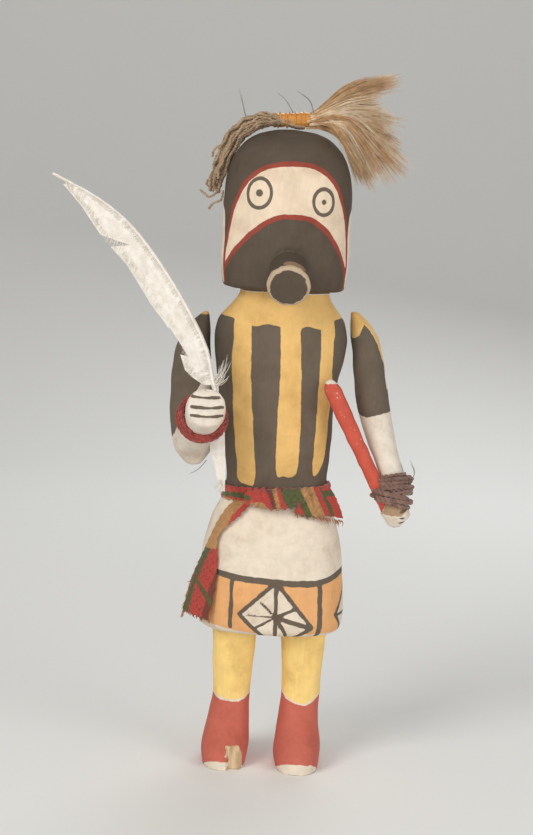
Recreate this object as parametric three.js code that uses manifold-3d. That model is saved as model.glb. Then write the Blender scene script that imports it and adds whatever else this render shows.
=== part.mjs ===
// Kachina doll: a carved and painted cottonwood figure with a domed mask, arms carved on their own,
// a feather and a club in its fists, yarn on the wrists, a cloth sash and a crest of yarn and hair.
//
// Millimetres, +Z up. The figure looks along -Y, so its right hand is on the -X side. Every form is
// modelled about the figure's own upright axis with the soles at Z = 0, and the last lines move the
// group so that the origin is the middle of the foot of the whole part's box.
import * as THREE from 'three';
import { mergeVertices } from 'three/addons/utils/BufferGeometryUtils.js';
import Module from 'manifold-3d';

const wasm = await Module();
wasm.setup();

// ---------- Driving dimensions ----------

const FIT = 0.3; // gap between two pieces that touch

const MASK = { x: -1.7, footZ: 226.4, springZ: 266, crownZ: 300.6, halfWidth: 30.2, halfDepth: 27 };
const MASK_PLAN_POWER = 2.35; // squareness of the mask seen from above
const MASK_DOME_POWER = 2.6; // squareness of the dome seen from the front

const HEM = { z: 64, round: 5 }; // the kilt's flat underside and the rounding of its edge
const BODY_POWER = 2.4; // squareness of the torso and kilt seen from above

const SNOUT = { x: 0.4, y: -27, z: 237.4, baseRadius: 8.6, rimRadius: 10.2, length: 18.6, droopDeg: 24.5 };
const SNOUT_SOCKET_DEPTH = 6;

const FOREARM_START = new THREE.Vector3(-42, 1, 151.5); // the bent arm's elbow
const FOREARM_END = new THREE.Vector3(-33.4, -47, 174); // the middle of its fist's flat end
const QUILL_RADIUS = 1.2;
const QUILL_FOOT = new THREE.Vector3(-27.6, -41, 173);

const CLUB_TOP = new THREE.Vector3(21.0, -21, 186.6);
const CLUB_FOOT = new THREE.Vector3(56.6, -15.6, 118.2);
const CLUB_TOP_RADIUS = 4.3;
const CLUB_FOOT_RADIUS = 3.1;

const SASH = { z: 130.8, halfHeight: 3.6, thickness: 2.6, rise: 0.05 };
const CLOTH = 1.2; // thickness of the sash's hanging tails

const BINDING = { start: new THREE.Vector3(-10.8, 0, 304.6), end: new THREE.Vector3(6.6, 0, 305.6), radius: 3.5 };

// ---------- Tools for closed forms ----------

const signedPower = (value, power) => Math.sign(value) * Math.abs(value) ** power;
const point = (x, y, z) => new THREE.Vector3(x, y, z);

// Values between the rows of a table follow one smooth curve. The first column is the key.
function smoothTable(rows) {
  const width = rows[0].length - 1;
  const keys = rows.map((row) => row[0]);
  const values = rows.flatMap((row) => row.slice(1));
  const curve = new THREE.CubicInterpolant(keys, values, width, new Float64Array(width));
  return (key) => Array.from(curve.evaluate(key));
}

// One closed ring of points: a superellipse about the centre with half-axes `across` and `deep`.
function ring(centre, across, deep, power, sides) {
  return Array.from({ length: sides }, (_, index) => {
    const angle = (2 * Math.PI * index) / sides;
    return centre
      .clone()
      .addScaledVector(across, signedPower(Math.cos(angle), 2 / power))
      .addScaledVector(deep, signedPower(Math.sin(angle), 2 / power));
  });
}

// A level ring between left and right (x) and front and back (y), grown by a margin.
function levelRing(z, [left, right, front, back], power, sides, margin = 0) {
  const centre = point((left + right) / 2, (front + back) / 2, z);
  const across = point((right - left) / 2 + margin, 0, 0);
  const deep = point(0, (back - front) / 2 + margin, 0);
  return ring(centre, across, deep, power, sides);
}

// Joins rings of equal count into one body closed by a fan at each end. Each ring runs
// counter-clockwise as seen from the ring after it.
function loft(rings) {
  const sides = rings[0].length;
  const middle = (points) => points.reduce((sum, p) => sum.add(p), point(0, 0, 0)).divideScalar(sides);
  const vertices = [...rings.flat(), middle(rings[0]), middle(rings.at(-1))];
  const footCentre = rings.length * sides;
  const topCentre = footCentre + 1;
  const topRing = (rings.length - 1) * sides;
  const faces = [];
  for (let i = 0; i < sides; i += 1) {
    const next = (i + 1) % sides;
    for (let level = 0; level < rings.length - 1; level += 1) {
      const low = level * sides;
      const high = low + sides;
      faces.push(low + i, low + next, high + next, low + i, high + next, high + i);
    }
    faces.push(footCentre, next, i, topCentre, topRing + i, topRing + next);
  }
  const geometry = new THREE.BufferGeometry();
  geometry.setAttribute('position', new THREE.Float32BufferAttribute(vertices.flatMap((v) => [v.x, v.y, v.z]), 3));
  geometry.setIndex(faces);
  return solid(geometry);
}

// A closed geometry becomes a solid that can be joined and cut.
function solid(geometry) {
  geometry.deleteAttribute('normal');
  geometry.deleteAttribute('uv');
  const merged = mergeVertices(geometry, 1e-4);
  const vertProperties = new Float32Array(merged.attributes.position.array);
  const triVerts = new Uint32Array(merged.index.array);
  return new wasm.Manifold(new wasm.Mesh({ numProp: 3, vertProperties, triVerts }));
}

const union = (solids) => solids.reduce((sum, next) => sum.add(next));

// A cut can leave crumbs, so this keeps the largest connected part.
const largestPart = (cut) => cut.decompose().sort((a, b) => b.volume() - a.volume())[0];

// A form carved in level slices: the table's rows are [z, left, right, front, back].
function sliced(rows, count, power, sides, margin = 0) {
  const at = smoothTable(rows);
  const [lowest, highest] = [rows[0][0], rows.at(-1)[0]];
  return Array.from({ length: count }, (_, index) => {
    const z = THREE.MathUtils.lerp(lowest, highest, index / (count - 1));
    return levelRing(z, at(z), power, sides, margin);
  });
}

// A bar along a smooth path. Each row is [x, y, z, half across, half deep], and `side` gives the
// rough direction of "across".
function bar(rows, side, { sides = 12, steps = 12, power = 2, margin = 0 } = {}) {
  const path = new THREE.CatmullRomCurve3(rows.map(([x, y, z]) => point(x, y, z)));
  const sizes = smoothTable(rows.map((row, index) => [index / (rows.length - 1), row[3], row[4]]));
  const rings = Array.from({ length: steps + 1 }, (_, index) => {
    const along = index / steps;
    const tangent = path.getTangent(along);
    const across = side.clone().addScaledVector(tangent, -side.dot(tangent)).normalize();
    const deep = tangent.clone().cross(across);
    const [halfAcross, halfDeep] = sizes(along);
    return ring(
      path.getPoint(along),
      across.multiplyScalar(halfAcross + margin),
      deep.multiplyScalar(halfDeep + margin),
      power,
      sides,
    );
  });
  return loft(rings);
}

// A thin sheet from edge curve A to edge curve B. Its thickness and bulge grow to the left of the
// way from A to B, as seen along the curves. The bulge is a share of the sheet's width.
function sheet(edgeA, edgeB, { thickness, bulge = 0, steps = 16, columns = 4 }) {
  const curveA = new THREE.CatmullRomCurve3(edgeA.map((p) => point(...p)));
  const curveB = new THREE.CatmullRomCurve3(edgeB.map((p) => point(...p)));
  const rings = Array.from({ length: steps + 1 }, (_, index) => {
    const along = index / steps;
    const a = curveA.getPoint(along);
    const b = curveB.getPoint(along);
    const tangent = curveA.getTangent(along).add(curveB.getTangent(along)).normalize();
    const out = tangent.clone().cross(b.clone().sub(a)).normalize();
    const rise = bulge * a.distanceTo(b);
    const row = (lift) => Array.from({ length: columns + 1 }, (_unused, column) => {
      const across = column / columns;
      return a.clone().lerp(b, across).addScaledVector(out, rise * Math.sin(Math.PI * across) + lift);
    });
    return [...row(0), ...row(thickness).reverse()];
  });
  return loft(rings);
}

// ---------- The carved figure: mask, torso, kilt, legs and boots from one root ----------

// The torso and kilt, from the kilt's edge to the neck inside the mask: [z, left, right, front, back].
const BODY_ROWS = [
  [HEM.z + HEM.round, -35.0, 35.0, -26.2, 25.2],
  [96, -34.6, 33.2, -25.4, 24.4],
  [114, -31.6, 30.1, -22.8, 22.0],
  [122, -28.3, 27.4, -20.4, 19.6],
  [130, -24.4, 23.6, -17.5, 16.8],
  [148, -25.6, 24.7, -18.2, 17.4],
  [172, -29.4, 25.1, -19.2, 18.4],
  [186, -31.2, 26.8, -19.7, 18.7],
  [199, -33.0, 29.6, -19.4, 18.0],
  [210, -33.0, 29.2, -18.2, 16.8],
  [216, -28.8, 26.2, -16.6, 15.4],
  [222, -22.8, 20.8, -15.2, 14.0],
  [229, -19.6, 17.6, -14.2, 13.0],
];
const bodyAt = smoothTable(BODY_ROWS);

// Each leg with its boot, from the sole up into the kilt: [z, left, right, front, back].
const RIGHT_LEG_ROWS = [
  [0, -29.4, -8.2, -28.8, 10.2],
  [3, -30.5, -7.3, -30.0, 11.2],
  [10, -29.7, -7.2, -26.0, 10.6],
  [20, -27.7, -7.5, -17.0, 9.2],
  [32, -25.9, -7.8, -11.2, 8.2],
  [52, -27.1, -6.4, -11.6, 8.8],
  [72, -27.0, -5.6, -12.0, 9.5],
];
const LEFT_LEG_ROWS = [
  [0, 5.2, 26.4, -30.6, 10.2],
  [3, 4.4, 27.4, -31.8, 11.2],
  [10, 4.6, 27.0, -27.4, 10.6],
  [20, 5.9, 25.7, -17.4, 9.2],
  [32, 7.2, 25.5, -11.2, 8.2],
  [52, 6.2, 26.9, -11.6, 8.8],
  [72, 4.6, 27.2, -12.0, 9.5],
];
const LEG_POWER = 2.5;

function maskForm(margin = 0) {
  const sides = 36;
  const wallRows = [[0, -1.8], [1, -1.4], [5, -0.7], [12, 0], [MASK.springZ - MASK.footZ, 0]];
  const domeSteps = 9;
  const maskRing = (z, halfWidth, halfDepth) => levelRing(
    z,
    [MASK.x - halfWidth, MASK.x + halfWidth, -halfDepth, halfDepth],
    MASK_PLAN_POWER,
    sides,
    margin,
  );
  const walls = wallRows.map(([rise, growth]) => {
    return maskRing(MASK.footZ + rise, MASK.halfWidth + growth, MASK.halfDepth + growth);
  });
  const dome = Array.from({ length: domeSteps }, (_, index) => {
    const angle = ((index + 1) / (domeSteps + 0.5)) * (Math.PI / 2);
    const reach = Math.cos(angle) ** (2 / MASK_DOME_POWER);
    const rise = Math.sin(angle) ** (2 / MASK_DOME_POWER);
    const z = MASK.springZ + rise * (MASK.crownZ - MASK.springZ + margin);
    return maskRing(z, MASK.halfWidth * reach, MASK.halfDepth * reach);
  });
  return loft([...walls, ...dome]);
}

function bodyForm(margin = 0) {
  const sides = 36;
  const roundSteps = 3;
  const hemRow = bodyAt(HEM.z + HEM.round);
  const hem = Array.from({ length: roundSteps }, (_, index) => {
    const angle = (1 - index / roundSteps) * (Math.PI / 2);
    const inset = HEM.round * (1 - Math.cos(angle));
    return levelRing(HEM.z + HEM.round * (1 - Math.sin(angle)), hemRow, BODY_POWER, sides, margin - inset);
  });
  return loft([...hem, ...sliced(BODY_ROWS, 20, BODY_POWER, sides, margin)]);
}

// The broken-off inner toe of the right boot: a steep facet where the wood split away.
function toeBreak() {
  const [width, depth, height] = [12, 12, 12];
  const block = new THREE.BoxGeometry(width, depth, height);
  block.rotateX(THREE.MathUtils.degToRad(-6));
  block.translate(-17.3 + width / 2, -24.6 - depth / 2, 10.6 - height / 2);
  return solid(block);
}

function snoutAxis() {
  const droop = THREE.MathUtils.degToRad(SNOUT.droopDeg);
  return point(0, -Math.cos(droop), -Math.sin(droop));
}

// A peg of round section along the snout's axis. The profile's rows are [along, radius].
function snoutPeg(profile) {
  const outline = [[profile[0][0], 0], ...profile, [profile.at(-1)[0], 0]];
  const peg = new THREE.LatheGeometry(outline.map(([along, radius]) => new THREE.Vector2(radius, along)), 24);
  peg.applyQuaternion(new THREE.Quaternion().setFromUnitVectors(point(0, 1, 0), snoutAxis()));
  peg.translate(SNOUT.x, SNOUT.y, SNOUT.z);
  return solid(peg);
}

function carvedFigure() {
  const legs = [RIGHT_LEG_ROWS, LEFT_LEG_ROWS].map((rows) => loft(sliced(rows, 11, LEG_POWER, 22)));
  const socket = snoutPeg([[-SNOUT_SOCKET_DEPTH, SNOUT.baseRadius + FIT], [6, SNOUT.baseRadius + FIT]]);
  return union([maskForm(), bodyForm(), ...legs]).subtract(socket).subtract(toeBreak());
}

function snout() {
  const { baseRadius, rimRadius, length } = SNOUT;
  return snoutPeg([
    [-SNOUT_SOCKET_DEPTH + FIT, baseRadius],
    [2, baseRadius],
    [length * 0.45, baseRadius + 0.5],
    [length - 2.6, rimRadius - 0.1],
    [length - 0.9, rimRadius],
    [length, rimRadius - 0.9],
  ]);
}

// ---------- The arms, each carved on its own and glued to the shoulder ----------

// Level slices of the bent arm's upper half, from the elbow up: [z, left, right, front, back].
const RIGHT_UPPER_ARM_ROWS = [
  [140.8, -43.6, -37.0, -3.5, 5.5],
  [146, -48.6, -32.6, -7.5, 9.5],
  [156, -51.8, -31.7, -8.6, 11.2],
  [172, -52.9, -32.6, -8.2, 11.6],
  [186, -52.4, -33.6, -7.8, 11.2],
  [199, -50.8, -34.7, -7.2, 10.6],
  [207, -46.4, -35.0, -5.8, 9.0],
  [214.4, -38.8, -35.8, -1.5, 4.0],
];

// The hanging arm in level slices, from the fist's foot up.
const LEFT_ARM_ROWS = [
  [118.6, 53.2, 58.8, -19.0, -13.0],
  [121, 49.8, 62.0, -22.8, -9.2],
  [126, 48.9, 63.2, -23.8, -8.2],
  [131, 50.0, 61.4, -22.2, -8.8],
  [137, 49.6, 60.4, -20.4, -8.4],
  [147, 45.6, 58.0, -17.8, -4.0],
  [157, 41.3, 55.3, -15.2, 0.8],
  [170, 36.4, 52.3, -12.0, 5.4],
  [185, 33.7, 49.2, -9.6, 8.2],
  [199, 32.3, 46.6, -8.4, 9.4],
  [208, 30.9, 43.4, -7.2, 9.4],
  [217.4, 30.4, 34.4, -2.8, 5.2],
];
const ARM_POWER = 2.3;

function forearmBar(margin = 0) {
  const [start, end] = [FOREARM_START, FOREARM_END];
  const sizeRows = [[0, 8.6], [0.35, 8.4], [0.64, 7.9], [0.78, 8.7], [0.93, 9.4], [1, 8.7]];
  const rows = sizeRows.map(([along, half]) => [...start.clone().lerp(end, along), half, half * 1.04]);
  return bar(rows, point(1, 0, 0), { sides: 14, steps: 8, power: 2.3, margin });
}

function rightArm(margin = 0) {
  const upperArm = loft(sliced(RIGHT_UPPER_ARM_ROWS, 12, ARM_POWER, 16, margin));
  return upperArm.add(forearmBar(margin));
}

function leftArm(margin = 0) {
  return loft(sliced(LEFT_ARM_ROWS, 18, ARM_POWER, 16, margin));
}

// ---------- What the fists hold ----------

function club(margin = 0) {
  const sizeRows = [[0, 0.35], [0.03, 0.78], [0.09, 1], [0.5, 1], [0.91, 1], [0.97, 0.8], [1, 0.4]];
  const rows = sizeRows.map(([along, fullness]) => {
    const radius = fullness * THREE.MathUtils.lerp(CLUB_TOP_RADIUS, CLUB_FOOT_RADIUS, along);
    return [...CLUB_TOP.clone().lerp(CLUB_FOOT, along), radius, radius * 0.85];
  });
  return bar(rows, point(1, 0, 0), { sides: 10, steps: 18, margin });
}

// The feather's shaft runs from the hole in the fist to the tip. The vane lies on its left, and the
// shaft itself is the leading edge.
const SHAFT_POINTS = [
  QUILL_FOOT.toArray(),
  [-31.2, -39.4, 183.4],
  [-35.2, -38.8, 199.0],
  [-44.6, -37.6, 217.0],
  [-59.4, -35.5, 238.6],
  [-73.2, -33.5, 254.2],
  [-87.5, -31.3, 264.6],
  [-108.8, -28.0, 274.9],
];
const TRAILING_EDGE = [
  [-36.0, -38.6, 183.2],
  [-44.6, -37.3, 189.4],
  [-49.0, -36.8, 202.6],
  [-61.2, -34.9, 217.8],
  [-73.6, -33.2, 235.8],
  [-84.4, -31.6, 246.4],
  [-94.8, -30.1, 260.4],
  [-104.0, -28.8, 270.3],
];
const VANE_TOP = 0.94; // the vane stops short of the bare tip, at this share of the shaft
const VANE_THICKNESS = 0.8;
// Places where the vane has split, as wedges in the vane's plane: [mouth above, mouth below, root].
const VANE_SPLITS = [
  [[-95, 250.7], [-95, 241.2], [-71.8, 244.5]],
  [[-52.5, 208.5], [-54, 197.6], [-43.2, 195.6]],
];

function vaneSplit([above, below, root]) {
  const wedge = new THREE.Shape([above, below, root].map(([x, z]) => new THREE.Vector2(x, z)));
  const prism = new THREE.ExtrudeGeometry(wedge, { depth: 40, bevelEnabled: false });
  prism.rotateX(Math.PI / 2);
  prism.translate(0, -15, 0);
  return solid(prism);
}

function quill(margin = 0) {
  const rows = SHAFT_POINTS.map((p, index) => {
    const radius = QUILL_RADIUS * (1 - 0.07 * index) + margin;
    return [...p, radius, radius];
  });
  return bar(rows, point(1, 0, 0), { sides: 6, steps: 21 });
}

function feather() {
  const shaft = new THREE.CatmullRomCurve3(SHAFT_POINTS.map((p) => point(...p)));
  const vaneSteps = 14;
  const leadingEdge = Array.from({ length: vaneSteps + 1 }, (_, index) => {
    const vaneFoot = 1 / (SHAFT_POINTS.length - 1);
    const { x, y, z } = shaft.getPoint(THREE.MathUtils.lerp(vaneFoot, VANE_TOP, index / vaneSteps));
    return [x, y - VANE_THICKNESS / 2, z];
  });
  const vane = sheet(TRAILING_EDGE, leadingEdge, { thickness: VANE_THICKNESS, bulge: -0.07, steps: vaneSteps, columns: 3 });
  return VANE_SPLITS.reduce((rest, split) => rest.subtract(vaneSplit(split)), vane).add(quill());
}

// The narrow feather strip tied under the right wrist.
function hangingFeather() {
  const strip = sheet(
    [[-30.2, -29.5, 160.0], [-32.0, -29.5, 154.9], [-29.5, -28.5, 146.0], [-27.2, -27, 134.0]],
    [[-25.4, -29.5, 161.4], [-24.9, -29.5, 154.0], [-24.4, -28.5, 146.0], [-24.0, -27, 133.0]],
    { thickness: 0.8, bulge: 0.1, steps: 8, columns: 2 },
  );
  return largestPart(strip.subtract(rightArm(FIT)));
}

// ---------- Yarn on the wrists ----------

// A ring of `turns` strands side by side. It is made about the Y axis and then set on an axis.
function yarnRing({ innerRadius, strand, turns, centre, axis }) {
  const arcSteps = 2;
  const outline = [new THREE.Vector2(innerRadius, -turns * strand)];
  for (let turn = 0; turn < turns; turn += 1) {
    const along = (2 * turn + 1 - turns) * strand;
    for (let step = turn === 0 ? 0 : 1; step <= arcSteps; step += 1) {
      const angle = Math.PI * (step / arcSteps - 0.5);
      const height = strand * Math.cos(angle);
      outline.push(new THREE.Vector2(innerRadius + strand * 1.5 + height, along + strand * Math.sin(angle)));
    }
  }
  outline.push(new THREE.Vector2(innerRadius, turns * strand), outline[0].clone());
  const band = new THREE.LatheGeometry(outline, 16);
  band.applyQuaternion(new THREE.Quaternion().setFromUnitVectors(point(0, 1, 0), axis.clone().normalize()));
  band.translate(centre.x, centre.y, centre.z);
  return solid(band);
}

function rightWristYarn() {
  const axis = FOREARM_END.clone().sub(FOREARM_START);
  const centre = FOREARM_START.clone().addScaledVector(axis, 0.71);
  const band = yarnRing({ innerRadius: 7.2, strand: 1.1, turns: 3, centre, axis });
  return band.subtract(rightArm(FIT));
}

function leftWristYarn() {
  const cuff = yarnRing({
    innerRadius: 5.4,
    strand: 1.2,
    turns: 4,
    centre: point(55.0, -14.6, 138),
    axis: point(-0.16, 0.12, 1),
  });
  const lashing = yarnRing({
    innerRadius: 6.9,
    strand: 1.1,
    turns: 2,
    centre: point(54.2, -16.4, 131.8),
    axis: point(0.1, 0.1, 1),
  });
  return largestPart(cuff.add(lashing).subtract(leftArm(FIT)).subtract(club(FIT)));
}

// ---------- The cloth sash ----------

// How far forward the body reaches at a height, for a place across it.
function bodyFront(x, z) {
  const [left, right, front, back] = bodyAt(z);
  const across = Math.min(Math.abs((2 * x - left - right) / (right - left)), 0.97);
  const reach = (1 - across ** BODY_POWER) ** (1 / BODY_POWER);
  return (front + back) / 2 - reach * ((back - front) / 2);
}

// Points [x, z] of a cloth's edge laid on the front of the body, standing off it by `lift`.
const onBody = (edge, lift) => edge.map(([x, z]) => [x, bodyFront(x, z) - lift, z]);

function sashBand() {
  const levels = [-1, -0.6, 0.6, 1];
  const rings = levels.map((level) => {
    const z = SASH.z + level * SASH.halfHeight;
    const thickness = SASH.thickness * (1 - 0.25 * level * level);
    const outline = levelRing(z, bodyAt(SASH.z), BODY_POWER, 28, thickness);
    return outline.map((p) => p.setZ(p.z + p.x * SASH.rise));
  });
  return loft(rings);
}

function sashKnot() {
  return bar(
    [[-14, -20.5, 129.8, 2.6, 3.4], [-8, -22.6, 130.0, 4.4, 4.6], [0, -22.6, 129.2, 4.4, 4.8],
      [8, -21.4, 130.6, 4.0, 4.4], [15, -18.6, 132.8, 2.6, 3.0]],
    point(0, -1, 0),
    { sides: 9, steps: 8, power: 2.4 },
  );
}

function sashFan() {
  const top = onBody([[11, 132.5], [17, 134], [22.5, 134.5], [25.2, 134]], 1.6);
  const foot = onBody([[8.4, 123.6], [17, 121.6], [25, 121.2], [32, 119.8]], 2.4);
  return sheet(foot, top, { thickness: CLOTH, bulge: 0.1, steps: 8, columns: 3 });
}

function sashTail() {
  const outer = onBody([[-16.5, 130], [-24.6, 120.6], [-30.0, 108.0]], 1.6);
  const inner = onBody([[-10.5, 127], [-19.6, 117.6], [-26.0, 110.0]], 1.6);
  outer.push([-34.2, -11.5, 97.6], [-38.6, -11.0, 85.0], [-41.2, -12.0, 72.6]);
  inner.push([-25.6, -20.0, 98.0], [-26.4, -21.0, 85.0], [-29.2, -22.0, 70.6]);
  return sheet(outer, inner, { thickness: CLOTH, bulge: 0.05, steps: 14, columns: 3 });
}

function sash() {
  return union([sashBand(), sashKnot(), sashFan(), sashTail()]).subtract(bodyForm(FIT));
}

// ---------- The crest on the crown ----------

function tuftBinding() {
  const { start, end, radius } = BINDING;
  const sizeRows = [[0, 0.62], [0.12, 0.8], [0.5, 0.92], [0.88, 1], [1, 0.9]];
  const rows = sizeRows.map(([along, fullness]) => {
    return [...start.clone().lerp(end, along), radius * fullness, radius * fullness];
  });
  return bar(rows, point(0, 1, 0), { sides: 12, steps: 8 });
}

// The hair springs from the binding's end. Each tip [x, z] ends one lock, from the upper sheaf, which
// points up, to the lower one, which falls over the side of the mask.
const FUR_TIPS = [
  [48.6, 325.2], [41.5, 318.6], [44.5, 308.0], [47.5, 299.5], [51.0, 290.5], [52.0, 282.2], [45.2, 277.6],
  [39.6, 275.6], [35.0, 276.2],
];
const FUR_LOCK_RADIUS = 4.8;

function furTuft() {
  const root = BINDING.end.clone().add(point(0.9, 0, 0));
  const locks = FUR_TIPS.map(([x, z], index) => {
    const fall = index / (FUR_TIPS.length - 1);
    const side = 6 * Math.sin(index * 2.4);
    const tip = point(x, side * 1.2, z);
    const middle = root.clone().lerp(tip, 0.5).add(point(1.5, side * 0.3, THREE.MathUtils.lerp(1, 6.5, fall)));
    const radius = FUR_LOCK_RADIUS;
    return bar(
      [
        [root.x, side * 0.3, root.z, radius * 0.6, radius * 0.6],
        [...middle, radius, radius],
        [...tip, radius * 0.2, radius * 0.2],
      ],
      point(0, 1, 0),
      { sides: 6, steps: 5 },
    );
  });
  return union(locks).subtract(maskForm(FIT)).subtract(bindingKeepOut());
}

// The binding grown by the fit gap, so that the hair and yarn clear it.
function bindingKeepOut() {
  const { start, end, radius } = BINDING;
  const along = end.clone().sub(start).normalize();
  const rows = [start.clone().addScaledVector(along, -FIT), end.clone().addScaledVector(along, FIT)];
  return bar(rows.map((p) => [...p, radius + FIT, radius + FIT]), point(0, 1, 0), { sides: 16, steps: 2 });
}

// Coarse yarn lies over the right side of the crown in strands side by side, and their upper ends
// pass under the binding. Each row is [x, z, radius] of the bundle's middle line.
const YARN_TUFT_ROWS = [
  [3.5, 301.4, 1.0],
  [-7.5, 303.2, 2.6],
  [-14.5, 304.4, 4.2],
  [-22.0, 301.2, 5.0],
  [-28.2, 295.6, 5.0],
  [-32.2, 286.4, 4.2],
  [-34.6, 278.0, 3.9],
  [-36.8, 269.0, 2.4],
];

function yarnTuft() {
  const count = 3;
  const strands = Array.from({ length: count }, (_, index) => {
    const side = index - (count - 1) / 2;
    const wave = 0.9 * Math.cos(index * 2.1);
    const rows = YARN_TUFT_ROWS.map(([x, z, radius]) => [x - wave, side * radius, z + wave, radius, radius]);
    return bar(rows, point(0, 1, 0), { sides: 8, steps: 11 });
  });
  return union(strands).subtract(maskForm(FIT)).subtract(bindingKeepOut());
}

// ---------- The assembly ----------

const WOOD = { roughness: 0.8, metalness: 0 };
const SOFT = { roughness: 0.95, metalness: 0 };
const pieces = [
  ['carved_figure', carvedFigure(), { color: 0xd9c39a, ...WOOD }],
  ['snout', snout(), { color: 0x4a4340, ...WOOD }],
  ['right_arm', rightArm().subtract(quill(FIT)), { color: 0x4d4541, ...WOOD }],
  ['left_arm', largestPart(leftArm().subtract(club(FIT))), { color: 0xcfc6b8, ...WOOD }],
  ['feather', feather(), { color: 0xf0ebe2, ...SOFT }],
  ['hanging_feather', hangingFeather(), { color: 0xf3efe8, ...SOFT }],
  ['club', club(), { color: 0xc9504a, ...WOOD }],
  ['right_wrist_yarn', rightWristYarn(), { color: 0x8c2f2b, ...SOFT }],
  ['left_wrist_yarn', leftWristYarn(), { color: 0x5d3835, ...SOFT }],
  ['sash', sash(), { color: 0xb24338, ...SOFT }],
  ['yarn_tuft', yarnTuft(), { color: 0xb59a74, ...SOFT }],
  ['fur_tuft', furTuft(), { color: 0xd8b98a, ...SOFT }],
  ['tuft_binding', tuftBinding(), { color: 0xd08a2a, ...SOFT }],
];

const group = new THREE.Group();
for (const [name, piece, finish] of pieces) {
  const { vertProperties, triVerts } = piece.getMesh();
  const geometry = new THREE.BufferGeometry();
  geometry.setAttribute('position', new THREE.BufferAttribute(vertProperties, 3));
  geometry.setIndex(new THREE.BufferAttribute(triVerts, 1));
  const mesh = new THREE.Mesh(geometry, new THREE.MeshStandardMaterial(finish));
  mesh.name = name;
  group.add(mesh);
}
const box = new THREE.Box3().setFromObject(group);
const middle = box.getCenter(point(0, 0, 0));
group.position.set(-middle.x, -middle.y, 0);
group.updateMatrixWorld(true);

export default group;
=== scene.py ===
# %% [markdown]
# # A kachina doll of painted cottonwood root
#
# The doll is one carved figure with a domed mask, two arms that were carved on their own, and soft
# things tied to it: a sash, yarn, a feather, a crest of hair. Its solids come packed as a fixed frame.
# This lesson dresses them: fine carved copies of the wooden solids, layers of worn earth paint, and
# cloth, yarn, hair and feathers made as what they are.

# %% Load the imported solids
import math

import bmesh
import bpy
import numpy as np
from mathutils import Matrix, Vector


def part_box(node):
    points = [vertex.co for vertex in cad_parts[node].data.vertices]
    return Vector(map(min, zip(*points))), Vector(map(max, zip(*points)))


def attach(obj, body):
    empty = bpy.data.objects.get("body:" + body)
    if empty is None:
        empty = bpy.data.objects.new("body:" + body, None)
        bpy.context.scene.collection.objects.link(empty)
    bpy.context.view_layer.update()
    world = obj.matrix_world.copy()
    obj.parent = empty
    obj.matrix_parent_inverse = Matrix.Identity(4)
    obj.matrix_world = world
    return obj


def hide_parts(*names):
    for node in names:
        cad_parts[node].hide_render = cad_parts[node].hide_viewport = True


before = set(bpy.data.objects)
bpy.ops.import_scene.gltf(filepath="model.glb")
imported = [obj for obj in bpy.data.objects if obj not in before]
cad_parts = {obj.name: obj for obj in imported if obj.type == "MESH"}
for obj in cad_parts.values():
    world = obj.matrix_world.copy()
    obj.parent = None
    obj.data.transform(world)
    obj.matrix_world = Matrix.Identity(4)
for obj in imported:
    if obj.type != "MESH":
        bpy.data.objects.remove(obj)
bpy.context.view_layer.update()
MM = 0.001

# %% [markdown]
# Every size below is in millimetres in the doll's own frame: x to the viewer's right, y away from the
# viewer, z up from the soles, about the figure's upright axis. That axis is found from the frame: the
# kilt is widest evenly on both sides of it, and the mask's back lies a fixed depth behind it.

# %% The doll's own axis
MASK_HALF_DEPTH = 27
figure_low, figure_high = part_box("carved_figure")
AXIS = Vector(((figure_low[0] + figure_high[0]) / 2, figure_high[1] - MASK_HALF_DEPTH * MM, 0))


def place(x, y, z):
    """A point of the doll's frame, in millimetres, as a point of the scene, in metres."""
    return AXIS + Vector((x, y, z)) * MM


def to_scene(points):
    return np.asarray(points, float) * MM + np.array(AXIS)


def to_doll(points):
    return (np.asarray(points, float) - np.array(AXIS)) / MM


print("axis in mm:", [round(v / MM, 2) for v in AXIS])

# %% [markdown]
# The camera stands 0.9 m in front of the doll and a little above it, with a long lens, so there is
# almost no perspective. It is rolled by three degrees, which makes the doll lean a little to the right.
# Large soft lights from the upper left, the right and the front give a plain studio look.

# %% Camera and lights
CAMERA_TARGET = (-6.5, 0, 165)
CAMERA_DISTANCE = 900
CAMERA_RISE = math.radians(7)
CAMERA_ROLL = math.radians(2.9)


def look_from(position, target, roll=0.0):
    """A matrix that stands at a place and looks at another, turned about the line of sight."""
    direction = (target - position).normalized()
    turn = direction.to_track_quat("-Z", "Y").to_matrix().to_4x4()
    return Matrix.Translation(position) @ turn @ Matrix.Rotation(roll, 4, "Z")


def add_camera():
    data = bpy.data.cameras.new("camera")
    data.sensor_width = 36
    data.lens = 81.7
    data.dof.use_dof = False
    camera = bpy.data.objects.new("camera", data)
    bpy.context.collection.objects.link(camera)
    target = place(*CAMERA_TARGET)
    back = Vector((0, -math.cos(CAMERA_RISE), math.sin(CAMERA_RISE)))
    camera.matrix_world = look_from(target + back * CAMERA_DISTANCE * MM, target, CAMERA_ROLL)
    bpy.context.scene.camera = camera


def add_soft_light(name, position, size, power, colour):
    data = bpy.data.lights.new(name, "AREA")
    data.shape = "DISK"
    data.size = size
    data.energy = power
    data.color = colour
    light = bpy.data.objects.new(name, data)
    bpy.context.collection.objects.link(light)
    light.matrix_world = look_from(Vector(position), place(0, 0, 160))


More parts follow.
